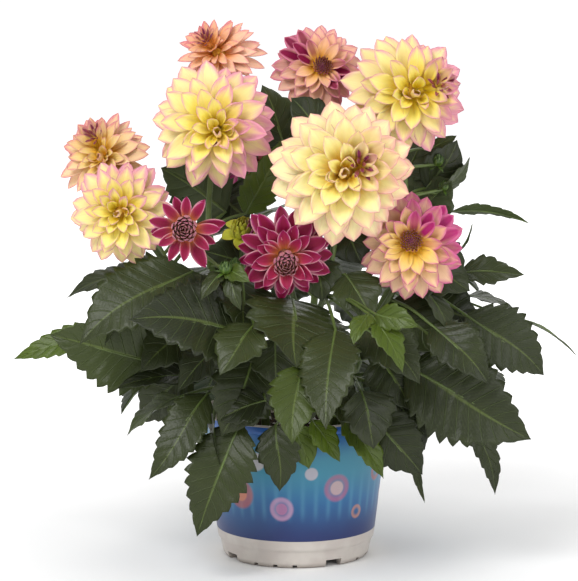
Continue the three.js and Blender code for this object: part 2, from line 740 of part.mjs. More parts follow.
function soil() {
  const inside = (z) => wallRadius(z) - WALL_THICKNESS - GAP;
  const bottom = FLOOR_TOP + GAP;
  const profile = [
    [0, bottom],
    [inside(bottom), bottom],
    [inside(SOIL_EDGE_HEIGHT), SOIL_EDGE_HEIGHT],
    [48, SOIL_CROWN_HEIGHT - 2.5],
    [24, SOIL_CROWN_HEIGHT],
    [0, SOIL_CROWN_HEIGHT - 1],
  ];
  let body = turned(profile, SOIL_SIDES);
  for (const { root } of Object.values(SHOOTS)) {
    const top = new THREE.Vector3(root[0], root[1], SOIL_CROWN_HEIGHT + 2);
    const foot = new THREE.Vector3(root[0], root[1], HOLE_FLOOR);
    const radius = STEM_RADIUS + 1.3 * GAP;
    body = body.subtract(tube([foot, top], radius, radius, STEM_SIDES));
  }
  return body;
}

const group = new THREE.Group();

function addPart(name, solid, look) {
  const mesh = solid.getMesh();
  const stride = mesh.numProp;
  const count = mesh.vertProperties.length / stride;
  const position = new Float32Array(count * 3);
  for (let i = 0; i < count; i++) {
    for (let k = 0; k < 3; k++) {
      position[3 * i + k] = mesh.vertProperties[stride * i + k];
    }
  }
  const geometry = new THREE.BufferGeometry();
  geometry.setAttribute("position", new THREE.BufferAttribute(position, 3));
  geometry.setIndex(new THREE.BufferAttribute(mesh.triVerts.slice(), 1));
  const part = new THREE.Mesh(geometry, new THREE.MeshStandardMaterial(look));
  part.name = name;
  group.add(part);
  return part;
}

addPart("pot", pot(), WHITE_PLASTIC);
addPart("soil", soil(), MOIST_SOIL);
for (const name of Object.keys(SHOOTS)) {
  addPart(name, wasm.Manifold.union(shootPieces(name)), GREEN);
}
Object.entries(HEADS).forEach(([name, head], seed) => {
  const part = addPart(name, new Head(head, seed).solid(), head.look);
  const facing = vector(head.face).normalize();
  const right = AXIS.clone().cross(facing).normalize();
  const upward = facing.clone().cross(right);
  part.position.set(...head.at);
  part.quaternion.setFromRotationMatrix(new THREE.Matrix4().makeBasis(right, upward, facing));
});

export default group;
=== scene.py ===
import math

import bpy
import numpy as np
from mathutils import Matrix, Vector


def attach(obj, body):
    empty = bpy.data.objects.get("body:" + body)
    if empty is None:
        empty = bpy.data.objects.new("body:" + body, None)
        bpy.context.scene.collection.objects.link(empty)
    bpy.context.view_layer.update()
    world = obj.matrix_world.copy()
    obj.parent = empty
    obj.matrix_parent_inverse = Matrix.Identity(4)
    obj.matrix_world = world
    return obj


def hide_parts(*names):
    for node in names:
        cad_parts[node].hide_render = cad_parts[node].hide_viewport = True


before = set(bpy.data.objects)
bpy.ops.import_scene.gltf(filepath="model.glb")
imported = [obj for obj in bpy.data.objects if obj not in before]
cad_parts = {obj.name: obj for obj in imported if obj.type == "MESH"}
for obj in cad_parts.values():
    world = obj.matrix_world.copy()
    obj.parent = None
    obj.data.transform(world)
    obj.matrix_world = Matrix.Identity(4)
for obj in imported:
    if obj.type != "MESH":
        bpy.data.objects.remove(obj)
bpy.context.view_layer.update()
bpy.ops.object.select_all(action="DESELECT")

# The camera stands in front of the plant, as for a catalogue photograph, and looks a little down on the
# middle of the foliage.
AIM = Vector((-0.0056, 0, 0.214))
CAMERA_DISTANCE = 2.5
LOOK_DOWN = math.radians(9)
bpy.ops.object.camera_add(
    location=AIM + CAMERA_DISTANCE * Vector((0, -math.cos(LOOK_DOWN), math.sin(LOOK_DOWN))),
    rotation=(math.radians(90) - LOOK_DOWN, 0, 0),
)
camera = bpy.context.object
camera.data.lens = 193.6
camera.data.sensor_width = 36
camera.data.clip_end = 50
bpy.context.scene.camera = camera

# The pot is a thin white nursery pot, injection moulded in one piece: a tapered wall with a rolled rim,
# a raised floor with drain holes, and a foot ring that is cut into feet so that water runs out.
# It is printed with a blue band from the rim to a little above the foot.
POT_SIDES = 128
FOOT_INSIDE = 52.0
POT_OUTSIDE = [
    (56.0, 0.0), (57.4, 0.4), (58.4, 1.6), (59.2, 4.0), (60.2, 9.0), (61.2, 13.6), (61.5, 14.3), (62.2, 14.5),
    (62.7, 15.2), (63.2, 17.0), (66.0, 40.0), (69.0, 66.0), (72.0, 90.0), (74.3, 110.4), (75.0, 111.1),
    (75.9, 111.9), (76.3, 113.2), (76.8, 116.6), (76.6, 117.5), (75.9, 118.0), (74.2, 118.0), (73.5, 117.4),
    (72.6, 111.0), (69.0, 80.0), (65.0, 47.0), (62.0, 21.0), (61.2, 14.2), (60.2, 13.0), (30.0, 13.0),
    (8.0, 13.0),
]
POT_UNDERSIDE = [(52.4, 4.0), (52.8, 10.4), (52.2, 11.0), (30.0, 11.0), (8.0, 11.0)]


def draw_rings(profile, radius, height):
    """Draws the selected ring on through radii and heights in millimetres, and closes it on the axis."""
    for next_radius, next_height in profile:
        bpy.ops.mesh.extrude_region_move(
            TRANSFORM_OT_translate={"value": (0, 0, (next_height - height) / 1000)}
        )
        share = next_radius / radius
        bpy.ops.transform.resize(value=(share, share, 1), center_override=(0, 0, 0))
        radius, height = next_radius, next_height
    bpy.ops.mesh.edge_face_add()


bpy.ops.mesh.primitive_circle_add(vertices=POT_SIDES, radius=FOOT_INSIDE / 1000)
pot = bpy.context.object
pot.name = "nursery_pot"
bpy.ops.object.mode_set(mode="EDIT")
bpy.ops.mesh.select_mode(type="EDGE")
bpy.ops.mesh.select_all(action="SELECT")
draw_rings(POT_OUTSIDE, FOOT_INSIDE, 0.0)
bpy.ops.object.mode_set(mode="OBJECT")
for edge in pot.data.edges:
    ends = [pot.data.vertices[i].co for i in edge.vertices]
    edge.select = all(abs(p.xy.length - FOOT_INSIDE / 1000) < 1e-5 and abs(p.z) < 1e-5 for p in ends)
bpy.ops.object.mode_set(mode="EDIT")
draw_rings(POT_UNDERSIDE, FOOT_INSIDE, 0.0)
bpy.ops.mesh.select_all(action="SELECT")
bpy.ops.mesh.normals_make_consistent(inside=False)
bpy.ops.object.mode_set(mode="OBJECT")


def joined(pieces):
    """Joins pieces into the first of them."""
    bpy.ops.object.select_all(action="DESELECT")
    for piece in pieces:
        piece.select_set(True)
    bpy.context.view_layer.objects.active = pieces[0]
    bpy.ops.object.join()
    return pieces[0]


# The spaces between the feet, and the drain holes, are cut out with one joined tool. A space has its turn in
# degrees, its width at the ground and at its top, and its height; each comes four times round the foot ring.
FOOT_SPACES = (
    (30.5, 0.024, 0.014, 0.006), (-33, 0.0044, 0.0036, 0.0028), (-16.5, 0.0044, 0.0036, 0.0028),
    (-1, 0.0044, 0.0036, 0.0028),
)
FOOT_MIDDLE = 0.0555
DRAIN_COUNT = 6
DRAIN_CIRCLE = 0.046
cutters = []
for turn, wide, top, high in FOOT_SPACES:
    for i in range(4):
        bpy.ops.mesh.primitive_cube_add(size=1, location=(FOOT_MIDDLE, 0, 0))
        cutter = bpy.context.object
        cutter.scale = (0.016, 2 * wide - top, 2 * high)
        bpy.ops.object.transform_apply(location=True, rotation=True, scale=True)
        for face in cutter.data.polygons:
            face.select = face.normal.z > 0.9
        bpy.ops.object.mode_set(mode="EDIT")
        bpy.ops.mesh.select_mode(type="FACE")
        bpy.ops.transform.resize(value=(1, top / (2 * wide - top), 1), center_override=(FOOT_MIDDLE, 0, high))
        bpy.ops.object.mode_set(mode="OBJECT")
        cutter.rotation_euler.z = math.radians(turn - 90 + 90 * i)
        bpy.ops.object.transform_apply(location=True, rotation=True, scale=True)
        cutters.append(cutter)
for i in range(DRAIN_COUNT):
    turn = math.tau * i / DRAIN_COUNT
    bpy.ops.mesh.primitive_cylinder_add(
        vertices=24, radius=0.004, depth=0.01,
        location=(DRAIN_CIRCLE * math.cos(turn), DRAIN_CIRCLE * math.sin(turn), 0.012),
    )
    bpy.ops.object.transform_apply(location=True, rotation=True, scale=True)
    cutters.append(bpy.context.object)
tool = joined(cutters)
bpy.ops.object.select_all(action="DESELECT")
pot.select_set(True)
bpy.context.view_layer.objects.active = pot
cut = pot.modifiers.new("feet and drains", "BOOLEAN")
cut.operation = "DIFFERENCE"
cut.use_self = True
cut.object = tool
bpy.ops.object.modifier_apply(modifier=cut.name)
bpy.data.objects.remove(tool)
bpy.ops.object.shade_smooth_by_angle(angle=math.radians(35))


def paint(code, alpha=1.0):
    """Colour of a hexadecimal code as a shader reads it."""
    parts = [int(code[i:i + 2], 16) / 255 for i in (0, 2, 4)]
    return [c / 12.92 if c <= 0.04045 else ((c + 0.055) / 1.055) ** 2.4 for c in parts] + [alpha]


class Finish:
    """A material under construction, with short ways to add the nodes that its pattern needs."""

    def __init__(self, name, roughness, specular=0.5):
        self.material = bpy.data.materials.new(name)
        self.material.use_nodes = True
        self.tree = self.material.node_tree
        self.shader = self.tree.nodes["Principled BSDF"]
        self.shader.inputs["Roughness"].default_value = roughness
        self.shader.inputs["Specular IOR Level"].default_value = specular

    def feed(self, socket, value):
        if isinstance(value, bpy.types.NodeSocket):
            self.tree.links.new(value, socket)
        else:
            socket.default_value = value

    def maths(self, operation, *values):
        node = self.tree.nodes.new("ShaderNodeMath")
        node.operation = operation
        for socket, value in zip(node.inputs, values):
            self.feed(socket, value)
        return node.outputs[0]

    def rise(self, value, low, high):
        """0 below low, 1 above high, and smooth between them."""
        node = self.tree.nodes.new("ShaderNodeMapRange")
        node.interpolation_type = "SMOOTHSTEP"
        self.feed(node.inputs["Value"], value)
        self.feed(node.inputs["From Min"], low)
        self.feed(node.inputs["From Max"], high)
        return node.outputs[0]

    def fall(self, value, low, high):
        """1 below low, 0 above high, and smooth between them."""
        return self.maths("SUBTRACT", 1.0, self.rise(value, low, high))

    def times(self, first, second):
        return self.maths("MULTIPLY", first, second)

    def from_axis(self, x, y):
        squares = [self.maths("POWER", value, 2.0) for value in (x, y)]
        return self.maths("SQRT", self.maths("ADD", *squares))

    def mix(self, share, first, second):
        node = self.tree.nodes.new("ShaderNodeMix")
        node.data_type = "RGBA"
        self.feed(node.inputs["Factor"], share)
        self.feed(node.inputs["A"], first)
        self.feed(node.inputs["B"], second)
        return node.outputs["Result"]

    def place(self, kind="Object"):
        """x, y and z of the Object coordinates, or the two of the UV map."""
        spot = self.tree.nodes.new("ShaderNodeTexCoord")
        split = self.tree.nodes.new("ShaderNodeSeparateXYZ")
        self.tree.links.new(spot.outputs[kind], split.inputs[0])
        return split.outputs

    def spot(self, x, y, z=0.0):
        node = self.tree.nodes.new("ShaderNodeCombineXYZ")
        for socket, value in zip(node.inputs, (x, y, z)):
            self.feed(socket, value)
        return node.outputs[0]

    def noise(self, vector, scale, detail=3.0):
        node = self.tree.nodes.new("ShaderNodeTexNoise")
        if vector is None:
            vector = self.tree.nodes.new("ShaderNodeTexCoord").outputs["Object"]
        self.feed(node.inputs["Vector"], vector)
        self.feed(node.inputs["Scale"], scale)
        self.feed(node.inputs["Detail"], detail)
        return node.outputs[0]

    def attribute(self, name):
        node = self.tree.nodes.new("ShaderNodeAttribute")
        node.attribute_name = name
        return node.outputs["Fac"]

    def colour(self, value):
        self.feed(self.shader.inputs["Base Color"], value)

    def bump(self, height, distance, strength=1.0):
        node = self.tree.nodes.new("ShaderNodeBump")
        node.inputs["Distance"].default_value = distance
        node.inputs["Strength"].default_value = strength
        self.feed(node.inputs["Height"], height)
        self.feed(self.shader.inputs["Normal"], node.outputs[0])

    def soften(self, weight, depths):
        """Lets light into the material, as deep as depths say in metres for red, green and blue."""
        self.shader.inputs["Subsurface Weight"].default_value = weight
        self.shader.inputs["Subsurface Radius"].default_value = depths


plastic = Finish("printed white plastic", 0.36)
x, y, z = plastic.place()
BAND_RADIUS = 0.07
BAND_FOOT, BAND_TOP = 0.0230, 0.1168
around = plastic.times(plastic.maths("ARCTAN2", x, plastic.times(y, -1.0)), BAND_RADIUS)
wall_middle = plastic.maths("MULTIPLY_ADD", z, 0.119, 0.0603)
outside = plastic.maths("GREATER_THAN", plastic.from_axis(x, y), wall_middle)
above_foot = plastic.rise(z, BAND_FOOT - 0.0001, BAND_FOOT + 0.0001)
below_top = plastic.fall(z, BAND_TOP - 0.0002, BAND_TOP + 0.0002)
printed = plastic.times(outside, plastic.times(above_foot, below_top))
cloud = plastic.noise(plastic.spot(around, z), 14.0, 2.0)
drift = plastic.maths("MULTIPLY_ADD", cloud, 0.03, z)
blue = plastic.mix(plastic.rise(drift, 0.036, 0.078), paint("1f2f66"), paint("24659a"))
blue = plastic.mix(plastic.rise(drift, 0.066, 0.098), blue, paint("3a8aa4"))
blue = plastic.mix(plastic.rise(drift, 0.104, 0.128), blue, paint("1f5aa8"))
# soft rays rise from the foot of the band
waves = plastic.maths("ABSOLUTE", plastic.maths("SINE", plastic.times(around, 290.0)))
rays = plastic.maths("POWER", waves, 6.0)
ray_height = plastic.times(plastic.rise(z, 0.036, 0.05), plastic.fall(z, 0.06, 0.085))
blue = plastic.mix(plastic.times(plastic.times(rays, ray_height), 0.28), blue, paint("5fa3bd"))
# plain discs and rings, each with its place along and up the band, its radius, colour and a ring's width
BAND_DISCS = (
    (-0.049, 0.060, 0.0135, "b9573f", 0.0), (-0.049, 0.060, 0.0070, "d98a5e", 0.0),
    (-0.012, 0.050, 0.0105, "cf9ab8", 0.0024), (-0.012, 0.050, 0.0050, "c7789c", 0.0),
    (0.034, 0.066, 0.0120, "b45c7e", 0.0026), (0.034, 0.066, 0.0062, "e0b3a8", 0.0),
    (0.012, 0.079, 0.0055, "d9c3c8", 0.0), (0.056, 0.044, 0.0060, "c98a6a", 0.0016),
    (-0.032, 0.088, 0.0080, "dcc6bf", 0.0), (-0.078, 0.074, 0.0075, "cf9ab8", 0.002),
    (0.080, 0.074, 0.0090, "b9573f", 0.0022), (0.104, 0.052, 0.0060, "dcc6bf", 0.0),
    (-0.106, 0.050, 0.0088, "b45c7e", 0.002), (-0.134, 0.078, 0.0110, "d98a5e", 0.0),
    (0.140, 0.072, 0.0120, "cf9ab8", 0.0028), (0.172, 0.048, 0.0070, "c98a6a", 0.0),
    (-0.168, 0.050, 0.0090, "dcc6bf", 0.002),
)
for across, height, size, code, ring in BAND_DISCS:
    away = plastic.from_axis(plastic.maths("SUBTRACT", around, across), plastic.maths("SUBTRACT", z, height))
    disc = plastic.fall(away, 0.8 * size, size + 0.0004)
    if ring:
        disc = plastic.times(disc, plastic.rise(away, 0.5 * size - ring, size - ring))
    blue = plastic.mix(plastic.times(disc, 0.62), blue, paint(code))
haze = plastic.noise(None, 60.0)
white = plastic.mix(plastic.rise(haze, 0.35, 0.7), paint("c4bbb4"), paint("cfc8c0"))
# painted shade: the lowest 5 mm of the pot is mixed towards grey, standing in for the shade under the foot
white = plastic.mix(plastic.fall(z, 0.0, 0.005), white, paint("9d948c"))
plastic.colour(plastic.mix(printed, white, blue))
plastic.soften(0.08, (0.004, 0.003, 0.0025))
plastic.bump(plastic.noise(None, 900.0, 2.0), 0.00004, 0.5)
pot.data.materials.append(plastic.material)
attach(pot, "root")
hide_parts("pot")

# The soil is dark moist potting mix of peat, bark and a little white perlite. It fills the pot to a finger
# under the rim, a little higher round the stems.


def draw(number):
    """A steady draw between 0 and 1 for a number."""
    return math.sin(number * 12.9898) * 43758.5453 % 1


SOIL_FLOOR, SOIL_TOP = 0.0135, 0.1
SOIL_RADIUS = 0.0727
bpy.ops.mesh.primitive_cone_add(
    vertices=96, radius1=0.0609, radius2=SOIL_RADIUS, depth=SOIL_TOP - SOIL_FLOOR,
    location=(0, 0, (SOIL_FLOOR + SOIL_TOP) / 2),
)
soil = bpy.context.object
soil.name = "potting_mix"
bpy.ops.object.transform_apply(location=True)
for face in soil.data.polygons:
    face.select = face.normal.z > 0.9
bpy.ops.object.mode_set(mode="EDIT")
bpy.ops.mesh.select_mode(type="FACE")
for inset in range(22):
    bpy.ops.mesh.inset(thickness=0.0032, depth=0)
bpy.ops.mesh.select_all(action="SELECT")
bpy.ops.mesh.normals_make_consistent(inside=False)
bpy.ops.object.mode_set(mode="OBJECT")
for vertex in soil.data.vertices:
    if vertex.co.z > 0.09 and vertex.co.xy.length < 0.0715:
        crown = 0.006 * (1 - (vertex.co.xy.length / SOIL_RADIUS) ** 2)
        vertex.co.z += crown - 0.0012 + 0.0022 * draw(vertex.index)
bpy.ops.object.shade_smooth_by_angle(angle=math.radians(40))

# crumbs of bark and perlite lie half sunk in the surface
CRUMB_COUNT = 120
crumbs = [soil]
for i in range(CRUMB_COUNT):
    distance, turn = 0.069 * math.sqrt(draw(i + 0.3)), math.tau * draw(i + 0.7)
    size = 0.0011 + 0.0016 * draw(i + 0.1)
    bpy.ops.mesh.primitive_ico_sphere_add(
        subdivisions=1, radius=size, rotation=(6 * draw(i + 0.2), 6 * draw(i + 0.4), 0),
        location=(distance * math.cos(turn), distance * math.sin(turn), 0.1061 - 1.1 * distance ** 2),
    )
    bpy.context.object.scale = (1.4, 1.0, 0.6)
    crumbs.append(bpy.context.object)
mix_finish = Finish("moist potting mix", 0.92, 0.25)
grain = mix_finish.noise(None, 420.0, 5.0)
peat = mix_finish.mix(mix_finish.rise(grain, 0.35, 0.65), paint("17110c"), paint("3a2a1d"))
specks = mix_finish.rise(mix_finish.noise(None, 160.0, 1.0), 0.66, 0.7)
mix_finish.colour(mix_finish.mix(specks, peat, paint("8a8175")))
mix_finish.bump(grain, 0.0012)
soil.data.materials.append(mix_finish.material)
joined(crumbs)
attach(soil, "root")
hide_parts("soil")

# The stems are round, juicy and green. Each shoot rises from the soil, forks, and bends over behind its
# heads, where it widens into a green cup of bracts. Leaf stalks leave it and run on under the leaflets.
# Each head is given by its centre in millimetres, the way it faces, its radius and the petals in its rings.
HEADS = {
    "head_centre": ((35, -112, 323), (0.05, -1, 0.2), 54, 11),
    "head_upper_left": ((-65, -62, 356), (-0.1, -1, 0.25), 49, 11),
    "head_top_right": ((86, -28, 376), (0.15, -1, 0.3), 48, 11),
    "head_left": ((-136, -66, 286), (-0.15, -1, 0.1), 41, 10),
    "head_far_left": ((-155, 14, 320), (-0.35, -0.8, 0.4), 38, 9),
    "head_right": ((90, -88, 262), (0.05, -1, 0.12), 41, 10),
    "head_top_left": ((-62, 34, 400), (-0.3, -0.8, 0.55), 36, 10),
    "head_top_middle": ((17, 22, 392), (0.05, -1, 0.35), 36, 9),
    "head_low": ((-9, -96, 258), (0.02, -1, -0.05), 37, 10),
    "head_opening": ((-84, -116, 280), (-0.05, -1, 0.1), 32, 8),
    "head_behind": ((-37, 30, 318), (0.35, 0.85, 0.35), 36, 9),
    "head_half_open": ((-41, -76, 272), (0.1, -0.6, 0.7), 17, 6),
}
# A shoot is given by its root, its fork, its heads, its buds and its leaflets. A bud has its place and its
# radius; a leaflet has its base, tip, width, roll in degrees, and how light a green it is, which is partly
# its own tone and partly painted shade where it lies in shade.
SHOOTS = {
    "left": ((-37, -4), (-66, -12, 196), ("head_left", "head_far_left"), (), (
        ((-116, -25, 230), (-181, -30, 213), 30, -15, 0.25),
        ((-112, -42, 222), (-150, -60, 180), 34, 0, 0.1),
        ((-80, -78, 241), (-166, -112, 190), 60, -30, 0.5),
        ((-153, 5, 179), (-227, 0, 158), 25, -62, 0.9),
        ((-101, -45, 161), (-194, -46, 186), 60, -54, 0.62),
        ((-69, -60, 155), (-143, -60, 145), 24, 0, 0.05),
        ((-92, -34, 134), (-134, -40, 104), 44, 5, 0.7),
        ((-72, -34, 198), (-122, -67, 160), 44, -60, 0.3),
        ((-84, -4, 150), (-126, 10, 104), 46, -60, 0.4),
        ((-100, 16, 226), (-146, 30, 196), 49, -60, 0.3),
        ((-56, -5, 278), (-107, -18, 315), 52, 0, 0.35),
        ((-59, 10, 289), (-37, -8, 270), 47, 0, 0.25),
    )),
    "front_left": ((-24, -28), (-42, -52, 206), ("head_opening", "head_half_open", "head_upper_left"),
        ((-54, -114, 250, 6), (-47, -90, 250, 5)), (
        ((-38, -100, 196), (-127, -130, 212), 62, -12, 0.12),
        ((-69, -78, 145), (-114, -108, 83), 36, -30, 0.38),
        ((-60, -86, 150), (-58, -104, 90), 18, 50, 0.1),
        ((-44, -90, 124), (-77, -108, 38), 51, -30, 0.5),
        ((-32, -118, 206), (-58, -150, 173), 42, 0, 0.55),
        ((-54, -108, 248), (-35, -124, 240), 15, 0, 0.75),
        ((-56, -108, 246), (-73, -120, 225), 16, 0, 0.45),
        ((-52, -108, 246), (-42, -124, 218), 15, 0, 0.5),
        ((-24, -97, 143), (-62, -99, 128), 28, 0, 0.12),
        ((-48, -72, 190), (-92, -88, 148), 42, 0, 0.2),
        ((-34, -76, 172), (-58, -101, 116), 52, -50, 0.3),
        ((-56, -64, 232), (-96, -84, 216), 34, 0, 0.45),
        ((-42, -78, 236), (-40, -108, 196), 42, -40, 0.25),
        ((-40, -30, 280), (-12, -36, 339), 31, 60, 0.8),
        ((-41, -64, 247), (-72, -74, 257), 34, -40, 0.3),
    )),
    "front": ((0, -38), (8, -62, 196), ("head_low", "head_centre"), (), (
        ((-3, -84, 220), (0, -146, 178), 70, -20, 0.35),
        ((4, -138, 178), (-3, -180, 126), 41, 0, 0.68),
        ((30, -118, 202), (22, -180, 137), 47, 20, 0.48),
        ((-16, -92, 123), (-13, -100, 72), 30, 0, 0.3),
        ((-2, -84, 121), (10, -92, 88), 28, 0, 0.85),
        ((12, -84, 125), (34, -94, 94), 22, 0, 0.9),
        ((36, -80, 126), (68, -90, 80), 28, 0, 0.85),
        ((55, -128, 216), (43, -148, 196), 17, 30, 0.8),
        ((58, -128, 214), (80, -156, 176), 24, 0, 0.8),
        ((60, -128, 216), (92, -146, 209), 21, 40, 0.78),
        ((48, -100, 204), (94, -134, 163), 40, 20, 0.3),
        ((12, -70, 160), (-2, -86, 116), 32, 0, 0.3),
        ((24, -74, 168), (36, -92, 122), 30, 0, 0.4),
        ((38, -84, 240), (58, -106, 208), 40, 20, 0.5),
        ((15, -74, 251), (20, -88, 219), 32, 20, 0.35),
        ((-16, -84, 190), (-15, -94, 153), 39, 0, 0.3),
    )),
    "front_right": ((30, -24), (62, -48, 200), ("head_right",), (), (
        ((86, -68, 165), (183, -85, 110), 66, 52, 0.28),
        ((58, -70, 128), (99, -76, 80), 44, 60, 0.22),
        ((105, -84, 200), (148, -108, 158), 36, 40, 0.2),
        ((98, -66, 226), (120, -86, 192), 26, 0, 0.3),
        ((78, -64, 137), (101, -68, 98), 28, 30, 0.2),
        ((88, -48, 127), (102, -54, 52), 11, 60, 0.45),
        ((50, -92, 150), (60, -102, 106), 44, 0, 0.25),
        ((72, -58, 212), (116, -72, 180), 60, 40, 0.3),
        ((96, -48, 246), (136, -54, 222), 49, 30, 0.35),
        ((64, -62, 172), (88, -78, 132), 44, 30, 0.2),
        ((92, -40, 150), (138, -48, 108), 52, 60, 0.25),
        ((38, -62, 275), (51, -72, 246), 39, 40, 0.2),
    )),
    "right": ((37, 6), (74, 0, 214), ("head_top_right",), ((113, 10, 318, 6), (118, 6, 298, 5)), (
        ((134, -36, 200), (197, -28, 150), 46, 62, 0.3),
        ((138, 5, 209), (179, 8, 193), 20, 10, 0.3),
        ((130, -20, 231), (181, -22, 230), 28, 35, 0.5),
        ((125, 20, 275), (188, 24, 265), 14, -40, 0.7),
        ((128, 5, 242), (141, 5, 267), 9, -10, 0.25),
        ((112, 5, 292), (139, 12, 320), 20, 0, 0.6),
        ((107, 20, 325), (129, 24, 336), 12, 60, 0.6),
        ((138, -12, 114), (160, -14, 50), 20, 55, 0.3),
        ((166, 25, 190), (229, 40, 154), 13, 0, 0.95),
        ((110, 32, 170), (172, 76, 116), 50, 0, 0.3),
        ((86, 42, 142), (128, 84, 84), 40, 0, 0.3),
        ((100, 42, 232), (152, 86, 198), 42, 0, 0.35),
        ((92, -12, 204), (148, -20, 192), 55, 50, 0.2),
        ((94, -8, 248), (134, -24, 226), 36, 10, 0.3),
        ((88, 8, 268), (124, 2, 304), 47, 30, 0.2),
        ((86, 14, 160), (140, 14, 124), 42, 20, 0.2),
        ((84, 20, 300), (104, 30, 342), 37, 50, 0.2),
        ((104, 12, 295), (129, 21, 333), 34, -60, 0.2),
    )),
    "back": ((10, 36), (16, 52, 210), ("head_top_middle",), ((40, 60, 300, 6),), (
        ((22, 88, 232), (40, 162, 192), 54, 0, 0.35),
        ((58, 80, 208), (112, 140, 160), 50, 0, 0.25),
        ((52, 76, 150), (92, 128, 94), 48, 0, 0.4),
        ((8, 96, 168), (12, 180, 118), 60, 0, 0.3),
        ((16, 82, 124), (36, 122, 50), 42, 0, 0.6),
        ((60, 50, 270), (100, 84, 260), 30, 0, 0.4),
        ((6, 74, 256), (8, 118, 236), 42, 0, 0.45),
        ((34, 66, 196), (68, 98, 156), 44, 0, 0.2),
        ((40, 56, 150), (62, 84, 96), 40, 0, 0.35),
        ((30, 60, 296), (52, 92, 286), 34, 0, 0.5),
        ((0, 66, 210), (-8, 116, 180), 44, 0, 0.3),
        ((-8, -6, 328), (-27, -10, 380), 36, 60, 0.3),
        ((17, -12, 343), (-4, -14, 370), 34, -10, 0.2),
    )),
    "back_left": ((-24, 28), (-46, 40, 212), ("head_top_left", "head_behind"), (), (
        ((-60, 78, 222), (-104, 142, 184), 52, 0, 0.3),
        ((-100, 48, 206), (-168, 88, 164), 48, 0, 0.4),
        ((-90, 52, 150), (-146, 96, 94), 48, 0, 0.25),
        ((-40, 84, 160), (-58, 164, 108), 56, 0, 0.45),
        ((-48, 74, 124), (-78, 112, 54), 40, 0, 0.6),
        ((-92, 40, 262), (-136, 66, 244), 30, 0, 0.35),
        ((-20, 78, 268), (-28, 122, 254), 30, 0, 0.5),
        ((-52, 60, 254), (-80, 98, 236), 40, 0, 0.3),
        ((-66, 44, 190), (-112, 70, 156), 44, 0, 0.2),
        ((-54, 54, 150), (-80, 84, 96), 40, 0, 0.35),
        ((-66, 60, 296), (-96, 76, 314), 32, 0, 0.4),
        ((-84, 28, 150), (-122, 44, 104), 38, 0, 0.3),
    )),
}


def smooth_line(points, steps):
    """A soft line through a few points."""
    line = []
    for k in range(len(points) - 1):
        before, start = points[max(0, k - 1)], points[k]
        end, after = points[k + 1], points[min(len(points) - 1, k + 2)]
        for i in range(steps):
            t = i / steps
            line.append(0.5 * (2 * start + (end - before) * t
                               + (2 * before - 5 * start + 4 * end - after) * t * t
                               + (3 * start - 3 * end + after - before) * t ** 3))
    return line + [points[-1]]


def stem(points, first, last):
    """A round stem along points in millimetres, easing from the first radius to the last."""
    curve = bpy.data.curves.new("stem", "CURVE")
    curve.dimensions = "3D"
    curve.bevel_depth = 0.001
    curve.bevel_resolution = 3
    curve.use_fill_caps = True
    spline = curve.splines.new("POLY")
    spline.points.add(len(points) - 1)
    for k, (point, spot) in enumerate(zip(points, spline.points)):
        spot.co = (*(point / 1000), 1)
        spot.radius = first + (last - first) * k / (len(points) - 1)
    piece = bpy.data.objects.new("stem", curve)
    bpy.context.scene.collection.objects.link(piece)
    bpy.ops.object.select_all(action="DESELECT")
    piece.select_set(True)
    bpy.context.view_layer.objects.active = piece
    bpy.ops.object.convert(target="MESH")
    return bpy.context.object


def trunk_line(root, fork):
    foot, collar = Vector((*root, 72)), Vector((*root, 110))
    middle = collar.lerp(Vector(fork), 0.5) + Vector((0, 0, 10))
    return foot, collar, middle, Vector(fork)


def branch_line(start, name, steps):
    """The bend of a stem from its fork to the back of a head."""
    at, face, size = Vector(HEADS[name][0]), Vector(HEADS[name][1]).normalized(), HEADS[name][2]
    end = at - 0.24 * size * face
    reach = 0.4 * (end - start).length
    lean = Vector(((end - start).x, (end - start).y, 0)).normalized()
    rising = start + Vector((0, 0, 0.6 * reach)) + 0.8 * reach * lean
    arriving = end - 0.8 * reach * face
    line = []
    for i in range(steps + 1):
        t = i / steps
        line.append((1 - t) ** 3 * start + 3 * t * (1 - t) ** 2 * rising
                    + 3 * t * t * (1 - t) * arriving + t ** 3 * end)
    return line


def spring_of(lines, goal):
    """Where on the shoot a stalk leaves for its goal."""
    below = Vector(goal) - Vector((0, 0, 8))
    spots = [line[k - 1].lerp(line[k], share) for line in lines for k in range(1, len(line))
             for share in (0.25, 0.5, 0.75, 1)]
    return min((spot for spot in spots if spot.z > 109), key=lambda spot: (spot - below).length)


def leaf_frame(base, tip, roll):
    """Length of a leaflet, and the unit vectors across it: up from its face, and to its side."""
    start, end = Vector(base), Vector(tip)
    way = (end - start).normalized()
    away = Vector(((start + end).x, (start + end).y, 0)).normalized()
    sky = 0.8 * away + Vector((0, 0, 0.6))
    normal = (sky - sky.dot(way) * way).normalized()
    turn = math.radians(roll)
    normal = (math.cos(turn) * normal + math.sin(turn) * way.cross(normal)).normalized()
    return start, end, (end - start).length, normal, normal.cross(way)


stem_finish = Finish("stem green", 0.42)
hue = stem_finish.noise(None, 45.0)
green = stem_finish.mix(stem_finish.rise(hue, 0.35, 0.7), paint("37441a"), paint("52662a"))
streak = stem_finish.noise(stem_finish.spot(*[stem_finish.times(axis, share) for axis, share in
                                              zip(stem_finish.place(), (1500.0, 1500.0, 90.0))]), 1.0, 2.0)
stem_finish.colour(stem_finish.mix(stem_finish.times(streak, 0.45), green, paint("66783a")))
stem_finish.bump(streak, 0.0002)
stem_finish.soften(0.1, (0.002, 0.003, 0.001))

